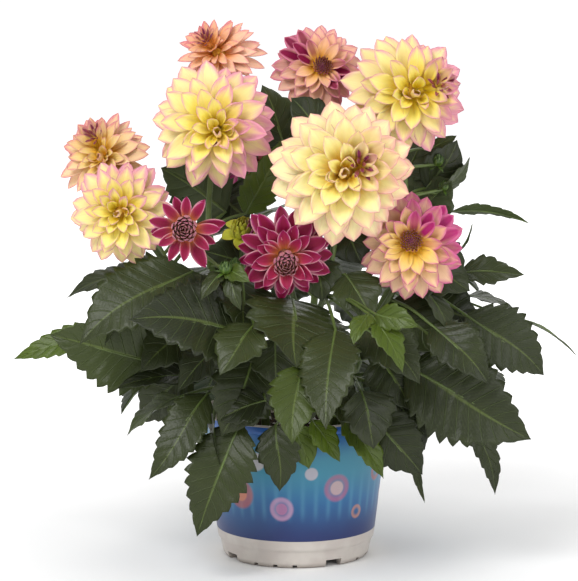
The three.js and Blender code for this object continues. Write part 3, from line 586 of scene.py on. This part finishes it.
# radii in millimetres at the start and the end of each kind of stem
TRUNK, BRANCH, LEAF_STALK, LEAF_RIB, BUD_STALK = (3.8, 3.0), (2.6, 2.1), (1.25, 0.95), (0.95, 0.25), (1.5, 1.2)
LEAF_ARCH = 0.36
shoot_parts = {}
for name, (root, fork, heads, buds, leaves) in SHOOTS.items():
    trunk = trunk_line(root, fork)
    lines = [trunk]
    parts = [stem(smooth_line(trunk, 8), *TRUNK)]
    for order, head in enumerate(heads):
        start = trunk[3].lerp(trunk[2], 0.2 * order)
        lines.append(branch_line(start, head, 4))
        parts.append(stem(branch_line(start, head, 20), *BRANCH))
    for base, tip, width, roll, tone_and_shade in leaves:
        start, end, length, normal, side = leaf_frame(base, tip, roll)
        origin = spring_of(lines, base)
        arch = 0.06 * (start - origin).length * Vector((0, 0, 1))
        way = [origin, origin.lerp(start, 0.5) + arch, start]
        rib = [start.lerp(end, t) + (LEAF_ARCH * length * t * (1 - t) - 0.5) * normal
               for t in (0.15, 0.35, 0.6, 0.85, 0.97)]
        stout = 0.85 + 0.008 * width
        parts.append(stem(smooth_line(way, 5) + rib[:1], LEAF_STALK[0] * stout, LEAF_STALK[1] * stout))
        parts.append(stem(smooth_line(rib, 3), LEAF_RIB[0] * stout, LEAF_RIB[1]))
    shoot_parts[name] = (parts, lines)

# The buds are green, round and wrapped in small bracts, each on a short stalk. One model of a bract makes
# them, and the cup of green bracts behind every head.

def flat_model(name, across, along):
    """A flat blade of unit size with a top and an under side, which every copy is bent from."""
    bpy.ops.mesh.primitive_grid_add(x_subdivisions=across, y_subdivisions=along, size=1)
    model = bpy.context.object
    model.name = name
    bpy.ops.object.mode_set(mode="EDIT")
    bpy.ops.mesh.select_all(action="SELECT")
    bpy.ops.mesh.extrude_region_move(TRANSFORM_OT_translate={"value": (0, 0, 0.1)})
    bpy.ops.mesh.select_all(action="SELECT")
    bpy.ops.mesh.normals_make_consistent(inside=False)
    bpy.ops.object.mode_set(mode="OBJECT")
    bpy.ops.object.shade_smooth()
    return model


petal_model = flat_model("petal_model", 6, 9)


def petal_shape(t, blunt):
    """Half-width along a petal: narrow root, broad middle, and an end between pointed and blunt."""
    opened = 0.14 + 0.86 * np.sin(np.pi / 2 * np.minimum(1, t / 0.58))
    end = np.maximum(0, (t - 0.55) / 0.45)
    return opened * np.maximum(0, 1 - end ** (1.5 + blunt)) ** (1 - 0.35 * blunt)


def spread(model, piece_name, shape, marks):
    """Copies a flat model and lays its mesh where shape(u, t, d) says; marks are its own attributes."""
    mesh = model.data.copy()
    mesh.name = piece_name
    flat = np.empty(len(mesh.vertices) * 3)
    mesh.vertices.foreach_get("co", flat)
    flat = flat.reshape(-1, 3)
    u, t, d = 2 * flat[:, 0], flat[:, 1] + 0.5, np.where(flat[:, 2] > 0.05, 1.0, -1.0)
    points, values = shape(u, t, d)
    mesh.vertices.foreach_set("co", (points / 1000).ravel())
    for key, value in {**marks, **values}.items():
        mark = mesh.attributes.new(key, "FLOAT", "POINT")
        mark.data.foreach_set("value", np.broadcast_to(value, len(u)).astype(float))
    mesh.update()
    copy = bpy.data.objects.new(piece_name, mesh)
    bpy.context.scene.collection.objects.link(copy)
    return copy


def petal(model, head, turn, form, marks, shift=(0.0, 0.0)):
    """One petal of a head. form gives its opening, bend and curl in degrees, its length, half-width, seat and
    rise in millimetres, how far it folds round its length in radians, its twist, thickness and bluntness."""
    at, face = np.array(head[0], float), np.array(Vector(head[1]).normalized())
    right = np.cross((0, 0, 1), face)
    right /= np.linalg.norm(right)
    upward = np.cross(face, right)
    spoke = np.cos(turn) * right + np.sin(turn) * upward
    side = np.cross(face, spoke)

    def shape(u, t, d):
        fine = np.linspace(0, 1, 41)
        angle = np.radians(form["open"] + form["bend"] * fine + form.get("curl", 0) * fine ** 3)
        step = form["length"] / 40
        mean = (angle[1:] + angle[:-1]) / 2
        along = np.interp(t, fine, np.concatenate([[0], np.cumsum(np.cos(mean)) * step]))
        out = np.interp(t, fine, np.concatenate([[0], np.cumsum(np.sin(mean)) * step]))
        lean = np.interp(t, fine, angle)
        half = form["half"] * petal_shape(t, form.get("blunt", 0.3))
        fold = form["fold"] * (1.25 - 0.5 * t)
        bow = u * fold
        across = half * np.sin(bow) / fold
        lift = half * (1 - np.cos(bow)) / fold
        ridge = 0.05 * half * np.cos(3 * np.pi * u) * np.sin(np.pi * t)
        depth = lift + ridge + d * form.get("thick", 0.35) * (1 - 0.6 * np.abs(u) ** 3) * (1 - 0.5 * t)
        twist = form.get("twist", 0.0) * t
        across, depth = (across * np.cos(twist) - depth * np.sin(twist),
                         across * np.sin(twist) + depth * np.cos(twist))
        normal = np.outer(np.sin(lean), face) - np.outer(np.cos(lean), spoke)
        root = at + shift[0] * right + shift[1] * upward + form["seat"] * spoke + form["rise"] * face
        points = (root + np.outer(along, face) + np.outer(out, spoke)
                  + np.outer(across, side) + depth[:, None] * normal)
        return points, {"under": (1 - d) / 2}

    return spread(model, "petal", shape, marks)


# the bracts in each ring of a bud, their opening and bend in degrees, and their half-width in shares of its size
BUD_RINGS = ((6, 78, -110, 0.62), (6, 62, -96, 0.5), (5, 40, -78, 0.36))
bract_finish = Finish("bract green", 0.45)
across, along, depth = bract_finish.place("UV")
tone = bract_finish.mix(bract_finish.rise(along, 0.1, 0.9), paint("4f6a20"), paint("36501a"))
rib_line = bract_finish.fall(
    bract_finish.maths("ABSOLUTE", bract_finish.maths("SUBTRACT", across, 0.5)), 0.0, 0.16)
bract_finish.colour(bract_finish.mix(bract_finish.times(rib_line, 0.4), tone, paint("7c9040")))
bract_finish.bump(bract_finish.noise(None, 700.0), 0.0002)
bract_finish.soften(0.12, (0.002, 0.003, 0.001))

for name, (root, fork, heads, buds, leaves) in SHOOTS.items():
    parts, lines = shoot_parts[name]
    bracts = []
    for order, (bx, by, bz, size) in enumerate(buds):
        parts.append(stem([spring_of(lines, (bx, by, bz)), Vector((bx, by, bz - 0.6 * size))], *BUD_STALK))
        knob = ((bx, by, bz), (0.1, -0.4, 1), size)
        for ring, (count, opening, bend, wide) in enumerate(BUD_RINGS):
            for i in range(count):
                bracts.append(petal(petal_model, knob, math.tau * (i + 0.5 * ring) / count, {
                    "open": opening, "bend": bend, "length": 1.75 * size, "half": wide * size,
                    "seat": 0.1 * size, "rise": -0.85 * size + 0.1 * ring * size,
                    "fold": 1.0, "thick": 0.3}, {}))
        for i in range(5):
            bracts.append(petal(petal_model, knob, math.tau * i / 5 + order, {
                "open": 82, "bend": 30, "length": 1.5 * size, "half": 0.26 * size, "seat": 0.1 * size,
                "rise": -0.9 * size, "fold": 0.8, "thick": 0.25}, {}))
    for head in heads:
        size = HEADS[head][2]
        for i in range(8):
            bracts.append(petal(petal_model, HEADS[head], math.tau * (i + 0.3) / 8, {
                "open": 62, "bend": 26, "length": 0.36 * size, "half": 0.085 * size, "seat": 0.05 * size,
                "rise": -0.3 * size, "fold": 0.7, "thick": 0.4}, {}))
        for i in range(7):
            bracts.append(petal(petal_model, HEADS[head], math.tau * (i + 0.8) / 7 + 0.4, {
                "open": 96, "bend": 34, "length": 0.3 * size, "half": 0.06 * size, "seat": 0.05 * size,
                "rise": -0.29 * size, "fold": 0.7, "thick": 0.4}, {}))
    for part in parts:
        part.data.materials.clear()
        part.data.materials.append(stem_finish.material)
    for bract in bracts:
        bract.data.materials.append(bract_finish.material)
    stems = joined(parts + bracts)
    stems.name = "stems_" + name
    bpy.ops.object.shade_smooth()
    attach(stems, "root")
    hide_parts("shoot_" + name)

# The leaflets are firm, coarse-toothed blades. Each is quilted between its side veins, folds a little up
# from its midrib, and arches over to a drawn-out tip. All are laid from one flat model.
LEAF_ROWS = 60
TEETH_START, TOOTHED = 0.05, 0.88
DARK_LEAF = 0.35
DARK_LEAF_SPREAD, LIGHT_LEAF_SPREAD = 1.14, 1.03
leaf_model = flat_model("leaf_model", 12, LEAF_ROWS)


def tooth_stations(pairs):
    """Shares of the length where the rows of the flat model come to lie, so that a row meets every tooth's
    notch and point, and how far out the edge reaches there."""
    each = int(LEAF_ROWS * TOOTHED) // pairs
    steps = np.append(np.linspace(0, 0.8, each - 1), 0.9)
    toothed = np.concatenate([k + steps for k in range(pairs)]) * TOOTHED / pairs + TEETH_START
    spare = LEAF_ROWS + 1 - len(toothed)
    first = spare // 2
    stations = np.concatenate([
        np.linspace(0, TEETH_START, first, endpoint=False), toothed,
        np.linspace(TEETH_START + TOOTHED, 1, spare - first)])
    bulge = 0.86 + 0.2 * np.append(np.linspace(0, 1, each - 1) ** 0.8, 0.5)
    saw = np.concatenate([np.full(first, 0.95), np.tile(bulge, pairs), np.full(spare - first, 0.95)])
    return stations, saw


def leaflet(base, tip, width, roll, tone_and_shade, number):
    """One leaflet, laid along its own line from base to tip."""
    start, end, length, normal, side = [np.array(v) for v in leaf_frame(base, tip, roll)]
    pairs = max(3, min(10, round(float(length) / 10.5)))
    stations, edge_saw = tooth_stations(pairs)
    sway, ripple = draw(number) - 0.5, draw(number + 0.5)
    width = width * (DARK_LEAF_SPREAD if tone_and_shade <= DARK_LEAF else LIGHT_LEAF_SPREAD)

    def shape(u, t, d):
        row = np.rint(t * LEAF_ROWS).astype(int)
        t, saw = stations[row], edge_saw[row]
        place = (t - TEETH_START) * pairs / TOOTHED
        outline = 3.41 * np.clip(t, 0, 1) ** 0.7 * np.clip(1 - t, 0, 1) ** 1.15
        rim = np.abs(u)
        reach = np.maximum(width / 2 * outline * (1 + (saw - 1) * rim ** 3), 0.9 * (1 - t) + 0.06)
        phase = place - 0.8 + 1.6 * (1 - rim) ** 1.15
        quilt = -np.cos(2 * np.pi * phase) * rim * (1.15 - rim) * 2.2 * outline
        ridge = np.exp(-(rim / 0.07) ** 2)
        wave = 0.11 * reach * rim ** 2 * np.sin(2 * np.pi * (1.7 * t + ripple + 0.3 * np.sign(u)))
        height = (LEAF_ARCH * length * t * (1 - t) + 0.12 * reach * rim
                  + 0.018 * width * quilt - 0.3 * ridge + wave)
        bend = sway * 0.16 * length * np.sin(np.pi * t) * t
        thick = 0.3 * (1 - 0.7 * rim ** 2) * (1 - 0.6 * t)
        points = (start + np.outer(t, end - start) + np.outer(u * reach + bend, side)
                  + np.outer(height + d * thick, normal))
        return points, {"vein": phase, "rim": rim, "under": (1 - d) / 2}

    return spread(leaf_model, "leaflet", shape, {"tone_and_shade": tone_and_shade, "own": draw(number + 0.25)})


leaf_finish = Finish("leaf green", 0.38, 0.3)
# partly painted shade: the blade's green runs darker with a lower light mark, which holds both each leaflet's own
# tone and the shade it lies in
tone_and_shade = leaf_finish.attribute("tone_and_shade")
blade = leaf_finish.mix(leaf_finish.rise(tone_and_shade, 0.0, 0.5), paint("1c2112"), paint("2c3416"))
blade = leaf_finish.mix(leaf_finish.rise(tone_and_shade, 0.5, 1.0), blade, paint("4e6212"))
mottle = leaf_finish.noise(None, 55.0, 4.0)
blade = leaf_finish.mix(leaf_finish.times(leaf_finish.rise(mottle, 0.4, 0.75), 0.3), blade, paint("3a431c"))
rim = leaf_finish.attribute("rim")
phase = leaf_finish.attribute("vein")
nearest = leaf_finish.maths("ABSOLUTE", leaf_finish.maths("SUBTRACT", phase, leaf_finish.maths("ROUND", phase)))
side_vein = leaf_finish.fall(nearest, 0.01, 0.075)
side_vein = leaf_finish.times(side_vein, leaf_finish.fall(rim, 0.55, 1.0))
midrib = leaf_finish.fall(rim, 0.01, 0.055)
fork_vein = leaf_finish.maths("ABSOLUTE", leaf_finish.maths("SUBTRACT", leaf_finish.maths("FRACT",
    leaf_finish.maths("MULTIPLY_ADD", phase, 3.0, leaf_finish.times(rim, -5.0))), 0.5))
fine_vein = leaf_finish.times(leaf_finish.fall(fork_vein, 0.02, 0.14), 0.16)
blade = leaf_finish.mix(fine_vein, blade, paint("4e5c30"))
blade = leaf_finish.mix(leaf_finish.times(side_vein, 0.3), blade, paint("56643a"))
blade = leaf_finish.mix(leaf_finish.times(midrib, 0.45), blade, paint("65743a"))
under = leaf_finish.attribute("under")
blade = leaf_finish.mix(leaf_finish.times(under, 0.5), blade, paint("475334"))
leaf_finish.colour(blade)
cells = leaf_finish.noise(None, 620.0, 3.0)
relief = leaf_finish.maths("ADD", leaf_finish.times(cells, 0.35), leaf_finish.times(side_vein, -0.6))
leaf_finish.bump(relief, 0.0007)
leaf_finish.soften(0.06, (0.0015, 0.002, 0.0008))

number = 0
for name, (root, fork, heads, buds, leaves) in SHOOTS.items():
    blades = []
    for row in leaves:
        blades.append(leaflet(*row, number))
        blades[-1].data.materials.append(leaf_finish.material)
        number += 1
    foliage = joined(blades)
    foliage.name = "leaves_" + name
    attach(foliage, "root")
    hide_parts("shoot_" + name)
bpy.data.objects.remove(leaf_model)

# The heads are double dahlias: rings of broad, cupped petals round one or two tight eyes. The cream and
# yellow petals are golden at the root and pink along their edges and tips; the dark ones are crimson with
# pale margins. Every petal is a copy of one model, bent, folded and turned to its own place in its ring.
OUTER_RING = {"open": 85, "bend": 16, "length": 0.88, "seat": 0.14, "rise": -0.07}
INNER_RING = {"open": 22, "bend": -12, "length": 0.42, "seat": 0.05, "rise": 0.1}

floret_model = flat_model("floret_model", 3, 5)


def petal_finish(name, heart, body, outer, tip, edge, streak, streak_share, under_code, margin=(0.9, 0.6)):
    """Petal colours: the golden heart, the body, the outer rings, the flushed tip, the edge line and the middle
    streak with how much of it every petal has, the underside, and where the edge line starts and its strength."""
    look = Finish(name, 0.5, 0.2)
    across, along, depth = look.place("UV")
    ring, blush, own, stripe = [look.attribute(key) for key in ("ring", "blush", "own", "stripe")]
    rim = look.times(look.maths("ABSOLUTE", look.maths("SUBTRACT", across, 0.5)), 2.0)
    flesh = look.mix(look.rise(ring, 0.0, 0.6), paint(outer), paint(body))
    flesh = look.mix(look.times(own, 0.3), flesh, paint(outer))
    grain = look.spot(look.times(across, 16.0), look.times(along, 1.3), look.times(own, 40.0))
    veins = look.noise(grain, 1.0, 3.0)
    golden_end = look.maths("MULTIPLY_ADD", ring, 0.2, 0.66)
    root = look.fall(look.maths("MULTIPLY_ADD", veins, 0.2, along), 0.2, golden_end)
    flesh = look.mix(look.times(look.rise(along, 0.5, 0.9), 0.5), flesh, paint(outer))
    flesh = look.mix(look.times(root, 0.95), flesh, paint(heart))
    flesh = look.mix(look.times(look.rise(veins, 0.5, 0.8), 0.2), flesh, paint(tip))
    flush = look.maths("MULTIPLY_ADD", rim, 0.4, look.times(along, 0.95))
    flush = look.maths("MULTIPLY_ADD", blush, 0.35, look.maths("MULTIPLY_ADD", veins, 0.2, flush))
    flesh = look.mix(look.times(look.rise(flush, 1.02, 1.45), 0.9), flesh, paint(tip))
    middle = look.fall(look.maths("MULTIPLY_ADD", veins, 0.35, rim), 0.45, 0.95)
    reach = look.times(look.rise(along, 0.12, 0.45), look.fall(along, 0.9, 1.0))
    share = look.times(look.times(middle, reach), look.maths("ADD", stripe, streak_share))
    flesh = look.mix(look.maths("MINIMUM", share, 1.0), flesh, paint(streak))
    drawn = look.maths("MULTIPLY_ADD", look.rise(along, 0.2, 0.7), 0.55, 0.2)
    line = look.times(look.rise(rim, margin[0], 1.0), drawn)
    line = look.times(line, look.maths("MULTIPLY_ADD", blush, 1.0 - margin[1], margin[1]))
    flesh = look.mix(line, flesh, paint(edge))
    look.colour(look.mix(look.times(look.attribute("under"), 0.5), flesh, paint(under_code)))
    look.bump(veins, 0.0004)
    look.soften(0.35, (0.004, 0.003, 0.002))
    look.shader.inputs["Sheen Weight"].default_value = 0.03
    return look.material


cream = petal_finish(
    "cream petals", "ecbc18", "f7ef84", "f4e6b0", "e8aca4", "b4687a", "b5527a", 0.0, "e4c29c")
lemon = petal_finish(
    "lemon petals", "e4c40c", "f6e95c", "f3e2a0", "de90ac", "b86c88", "b44a86", 0.0, "e2bc98", (0.9, 0.35))
peach = petal_finish(
    "peach petals", "ecb818", "f6e080", "f4d2a6", "dc8690", "b45a78", "b04880", 0.0, "d49a84")
coral = petal_finish(
    "coral petals", "f0a040", "f8be88", "f6c8aa", "e08490", "b45670", "a04070", 0.0, "cc846c")
pink = petal_finish(
    "pink petals", "e8b408", "f2ce60", "edc8a2", "c85290", "a63478", "a82268", 0.0, "c47e8a")
flame = petal_finish(
    "flame petals", "e8b018", "f4c084", "f2c0a8", "cc6c90", "a83c70", "84083e", 0.0, "b86880")
crimson = petal_finish(
    "crimson petals", "d8883c", "b43850", "8e1048", "9c1468", "dca4aa", "7c0030", 0.95, "983874", (0.66, 1.0))
lime = petal_finish(
    "half-open petals", "b0a014", "c4b828", "a8a830", "a09030", "8c7a34", "742468", 0.0, "84902a")
eye = petal_finish(
    "purple eye", "c87c3c", "bc6468", "ac5864", "a04c6c", "e4b094", "84305c", 0.2, "94486a")
ball = petal_finish(
    "striped heart", "c08c44", "d4a480", "cc9080", "b05c88", "e0bc98", "983058", 0.3, "b87888")


def core_finish(name, first, second):
    look = Finish(name, 0.7)
    look.colour(look.mix(look.rise(look.noise(None, 300.0), 0.4, 0.6), paint(first), paint(second)))
    look.bump(look.noise(None, 500.0), 0.0004)
    return look.material


golden_core = core_finish("golden core", "b07c1c", "d0a028")
dark_core = core_finish("dark core", "5a2230", "7c4a2c")

# rings of petals as shares of the way from the outermost to the innermost
FULL = (-0.16, 0.0, 0.17, 0.35, 0.56, 0.8)
AIRY = (-0.16, 0.0, 0.21, 0.44, 0.7)
WIDE = (-0.16, 0.0, 0.19, 0.38, 0.52)
# Each head has its petals' finish, slimness, looseness and crowding, and its rings. Then come the kinds of its
# eyes with their places in shares of the radius, the way, strength and lobes of its blush, and its streaks.
DRESS = {
    "head_centre": (cream, 1.0, 1.0, 1.0, FULL,
        (("spiral", 0.0, -0.06), ("cluster", 0.25, 0.08)), (-20, 0.5, 1), 0.0),
    "head_upper_left": (lemon, 0.92, 1.3, 1.0, AIRY,
        (("spiral", 0.14, -0.22),), (0, 1.0, 1), 0.2),
    "head_top_right": (lemon, 0.92, 1.2, 1.0, AIRY,
        (("spiral", 0.12, -0.08), ("cluster", 0.52, 0.04)), (0, 0.9, 1), 0.0),
    "head_left": (lemon, 0.92, 1.2, 1.1, AIRY,
        (("spiral", 0.0, 0.0),), (60, 0.7, 1), 0.0),
    "head_far_left": (peach, 0.95, 1.8, 1.5, AIRY,
        (("spiral", 0.1, -0.1), ("cluster", -0.15, 0.38)), (120, 0.6, 1), 0.0),
    "head_right": (pink, 0.85, 1.0, 1.0, WIDE,
        (("disc", -0.06, 0.12),), (50, 0.9, 1), 0.7),
    "head_top_left": (coral, 0.9, 2.0, 1.6, AIRY,
        (("cluster", -0.3, 0.25),), (130, 0.7, 1), 0.0),
    "head_top_middle": (flame, 0.78, 1.0, 1.1, WIDE,
        (("disc", 0.1, -0.06),), (145, 0.8, 2), 1.0),
    "head_low": (crimson, 0.76, 1.3, 0.95, WIDE,
        (("crown", 0.03, -0.16),), (90, 0.5, 1), 0.0),
    "head_opening": (crimson, 0.58, 2.4, 1.0, (0.0, 0.3),
        (("ball", 0.0, 0.0),), (90, 0.4, 1), 0.0),
    "head_behind": (crimson, 0.85, 1.0, 1.0, WIDE,
        (("disc", 0.0, 0.0),), (0, 0.6, 1), 0.0),
    "head_half_open": (lime, 0.9, 1.0, 1.0, (0.0, 0.5),
        (), (-10, 1.0, 1), 1.0),
}
GOLDEN_ANGLE = math.pi * (3 - math.sqrt(5))
CLUSTER_FLORETS, DISC_FLORETS, BALL_FLORETS, HALF_OPEN_PETALS = 12, 70, 34, 26
# where along its length a petal meets its neighbours, and half its width there as a share of the room it has
MEETING, MEETING_HALF = 0.74, 0.46
# the rolled petals of a spiral eye: opening, length, half-width, seat and fold
SPIRAL_PETALS = (
    (36, 0.34, 0.17, 0.12, 1.7), (32, 0.36, 0.16, 0.12, 1.8), (38, 0.33, 0.17, 0.12, 1.6),
    (16, 0.34, 0.14, 0.06, 2.2), (12, 0.32, 0.13, 0.05, 2.4),
)


def packed(count):
    """The places of florets in an eye: number, turn, and the way from the middle as a share."""
    return [(i, i * GOLDEN_ANGLE, math.sqrt((i + 0.5) / count)) for i in range(count)]


def floret_marks(i):
    """The colour marks of a floret of the head that is being made."""
    return {"ring": 1.0, "own": draw(seed + i), "blush": draw(i + 0.5), "stripe": draw(i + 0.2)}


for seed, (name, head) in enumerate(HEADS.items()):
    at, face, size, count = head
    finish, slim, loose, crowd, ring_shares, eyes, (blush_way, blush_share, lobes), striped = DRESS[name]
    petals = []
    first_eye = np.array(eyes[0][1:]) * size if eyes else np.zeros(2)
    last_eye = np.array(eyes[-1][1:]) * size if eyes else np.zeros(2)
    for order, share in enumerate(ring_shares):
        form = {key: OUTER_RING[key] + (INNER_RING[key] - OUTER_RING[key]) * share for key in OUTER_RING}
        inner = max(0.0, share)
        around = round(crowd * count * (1 - 0.35 * inner ** 1.5))
        pitch = math.tau / around
        for i in range(around):
            code = 97 * seed + 6.5 * order + i
            chance = [draw(code + 0.5 * j) for j in range(6)]
            turn = (i + 0.5 * (order % 2) + 0.3 * loose * (chance[2] - 0.5)) * pitch + 0.3 * seed
            towards = 0.5 + 0.5 * math.cos(lobes * (turn - math.radians(blush_way)))
            opening = form["open"] + 11 * loose * (chance[0] - 0.5)
            length = size * form["length"] * (1.05 - 0.13 * loose * chance[1]) * (0.96 if share < 0 else 1)
            lean = math.radians(opening + 0.5 * form["bend"])
            distance = size * form["seat"] + MEETING * length * math.sin(lean)
            half = MEETING_HALF * slim * pitch * distance * (1.06 + 0.45 * inner)
            facing = 0.0
            if len(eyes) > 1:
                facing = 0.5 + 0.5 * math.cos(turn - math.atan2(*(last_eye - first_eye)[::-1]))
            shift = inner ** 1.2 * (first_eye + facing * (last_eye - first_eye))
            streaked = striped * max(0.0, towards - 0.45) / 0.55 * (0.4 + 1.2 * chance[4])
            streaked += 0.9 * facing ** 4 * inner ** 1.5 - 0.9 * inner * (finish == crimson)
            petals.append(petal(petal_model, head, turn, {
                "open": opening, "bend": form["bend"], "curl": 12 * (1 - share) - 5 + 18 * (chance[3] - 0.5),
                "length": length, "half": max(half, 0.065 * size), "seat": size * form["seat"],
                "rise": size * form["rise"], "fold": 0.45 + 0.9 * inner + 0.3 * chance[4],
                "twist": 0.5 * loose * (chance[5] - 0.5), "blunt": 0.5 + 0.5 * inner}, {
                "ring": inner, "own": chance[2], "stripe": streaked,
                "blush": min(1.0, blush_share * (0.2 + 0.8 * towards ** 2) * (0.5 + 0.9 * chance[4])),
            }, shift))
            petals[-1].data.materials.append(finish)
    for kind, ex, ey in eyes:
        shift = (ex * size, ey * size)
        if kind == "spiral":
            for i, (opening, length, half, seat, fold) in enumerate(SPIRAL_PETALS):
                petals.append(petal(petal_model, head, 1.3 + i * 2.2 + seed, {
                    "open": opening, "bend": -26, "length": length * size, "half": half * size,
                    "seat": seat * size, "rise": 0.1 * size, "fold": fold, "twist": 0.3, "blunt": 0.9},
                    {"ring": 1.0, "own": draw(seed + i), "blush": 0.1, "stripe": 0.0}, shift))
                petals[-1].data.materials.append(finish)
        elif kind == "cluster":
            for i, turn, away in packed(CLUSTER_FLORETS):
                petals.append(petal(floret_model, head, turn, {
                    "open": 6 + 44 * away, "bend": -14, "length": (0.25 + 0.05 * away) * size,
                    "half": 0.042 * size, "seat": 0.08 * away * size, "rise": 0.16 * size,
                    "fold": 1.3, "twist": 0.2}, floret_marks(i), shift))
                petals[-1].data.materials.append(eye)
        elif kind == "disc":
            for i, turn, away in packed(DISC_FLORETS):
                petals.append(petal(floret_model, head, turn, {
                    "open": 4 + 34 * away, "bend": -46, "length": (0.13 + 0.09 * away) * size,
                    "half": 0.03 * size, "seat": 0.17 * away * size, "rise": (0.24 - 0.1 * away) * size,
                    "fold": 1.4}, floret_marks(i), shift))
                petals[-1].data.materials.append(eye if away < 0.82 else finish)
        else:
            wide = size if kind == "ball" else 0.85 * size
            for i, turn, away in packed(BALL_FLORETS):
                petals.append(petal(petal_model if away > 0.7 else floret_model, head, turn, {
                    "open": 10 + 66 * away, "bend": -20 - 90 * away, "length": (0.2 + 0.42 * away) * wide,
                    "half": (0.06 + 0.06 * away) * wide, "seat": 0.1 * away * wide,
                    "rise": (0.34 - 0.3 * away) * wide, "fold": 1.0},
                    {**floret_marks(i), "stripe": 0.3}, shift))
                petals[-1].data.materials.append(ball)
    if not eyes:
        for i, turn, away in packed(HALF_OPEN_PETALS):
            right_side = max(0.0, math.cos(turn))
            petals.append(petal(petal_model, head, turn, {
                "open": 12 + 72 * away, "bend": -30 - 84 * away, "length": (0.5 + 0.7 * away) * size,
                "half": (0.14 + 0.14 * away) * size, "seat": 0.12 * away * size,
                "rise": (0.34 - 0.8 * away) * size, "fold": 1.0},
                {**floret_marks(i), "blush": 0.3, "stripe": 1.6 * right_side ** 2}))
            petals[-1].data.materials.append(crimson if right_side > 0.55 and away > 0.45 else finish)
    bpy.ops.mesh.primitive_uv_sphere_add(segments=20, ring_count=12, radius=1)
    core = bpy.context.object
    core.scale = (0.15 * size / 1000, 0.15 * size / 1000, 0.16 * size / 1000)
    core.rotation_euler = Vector(face).to_track_quat("Z", "Y").to_euler()
    core.location = Vector(at) / 1000
    bpy.ops.object.transform_apply(location=True, rotation=True, scale=True)
    core.data.materials.append(dark_core if finish == crimson else golden_core)
    bloom = joined(petals + [core])
    bloom.name = name.replace("head", "bloom")
    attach(bloom, "root")
    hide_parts(name)
for model in (petal_model, floret_model):
    bpy.data.objects.remove(model)

# The floor is a plain pale sweep that glows a little away from the plant. A large soft lamp stands in front
# and above at the left, a smaller one at the right, and one behind.
bpy.ops.mesh.primitive_plane_add(size=40, location=(0, 0, 0))
floor = bpy.context.object
floor.name = "floor"
floor_finish = Finish("pale floor", 0.9, 0.1)
floor_finish.colour(paint("f6f6f6"))
x, y, z = floor_finish.place()
glow = floor_finish.rise(floor_finish.from_axis(x, y), 0.1, 1.1)
glow_colour = floor_finish.mix(glow, (0, 0, 0, 1), (1, 1, 1, 1))
floor_finish.feed(floor_finish.shader.inputs["Emission Color"], glow_colour)
floor_finish.shader.inputs["Emission Strength"].default_value = 0.5
floor.data.materials.append(floor_finish.material)
# the lamps' places and sizes in metres, and their power in watts
LAMPS = (((-0.9, -1.6, 1.9), 1.1, 36), ((1.5, -1.3, 1.0), 1.2, 11), ((0.3, 1.5, 1.6), 1.4, 14))
for spot, size, power in LAMPS:
    bpy.ops.object.light_add(type="AREA", location=spot)
    lamp = bpy.context.object
    lamp.data.size = size
    lamp.data.energy = power
    lamp.rotation_euler = (AIM - Vector(spot)).to_track_quat("-Z", "Y").to_euler()
world = bpy.data.worlds.new("studio")
bpy.context.scene.world = world
world.use_nodes = True
world.node_tree.nodes["Background"].inputs["Color"].default_value = (1, 1, 1, 1)
world.node_tree.nodes["Background"].inputs["Strength"].default_value = 0.6
bpy.context.scene.view_settings.view_transform = "Standard"
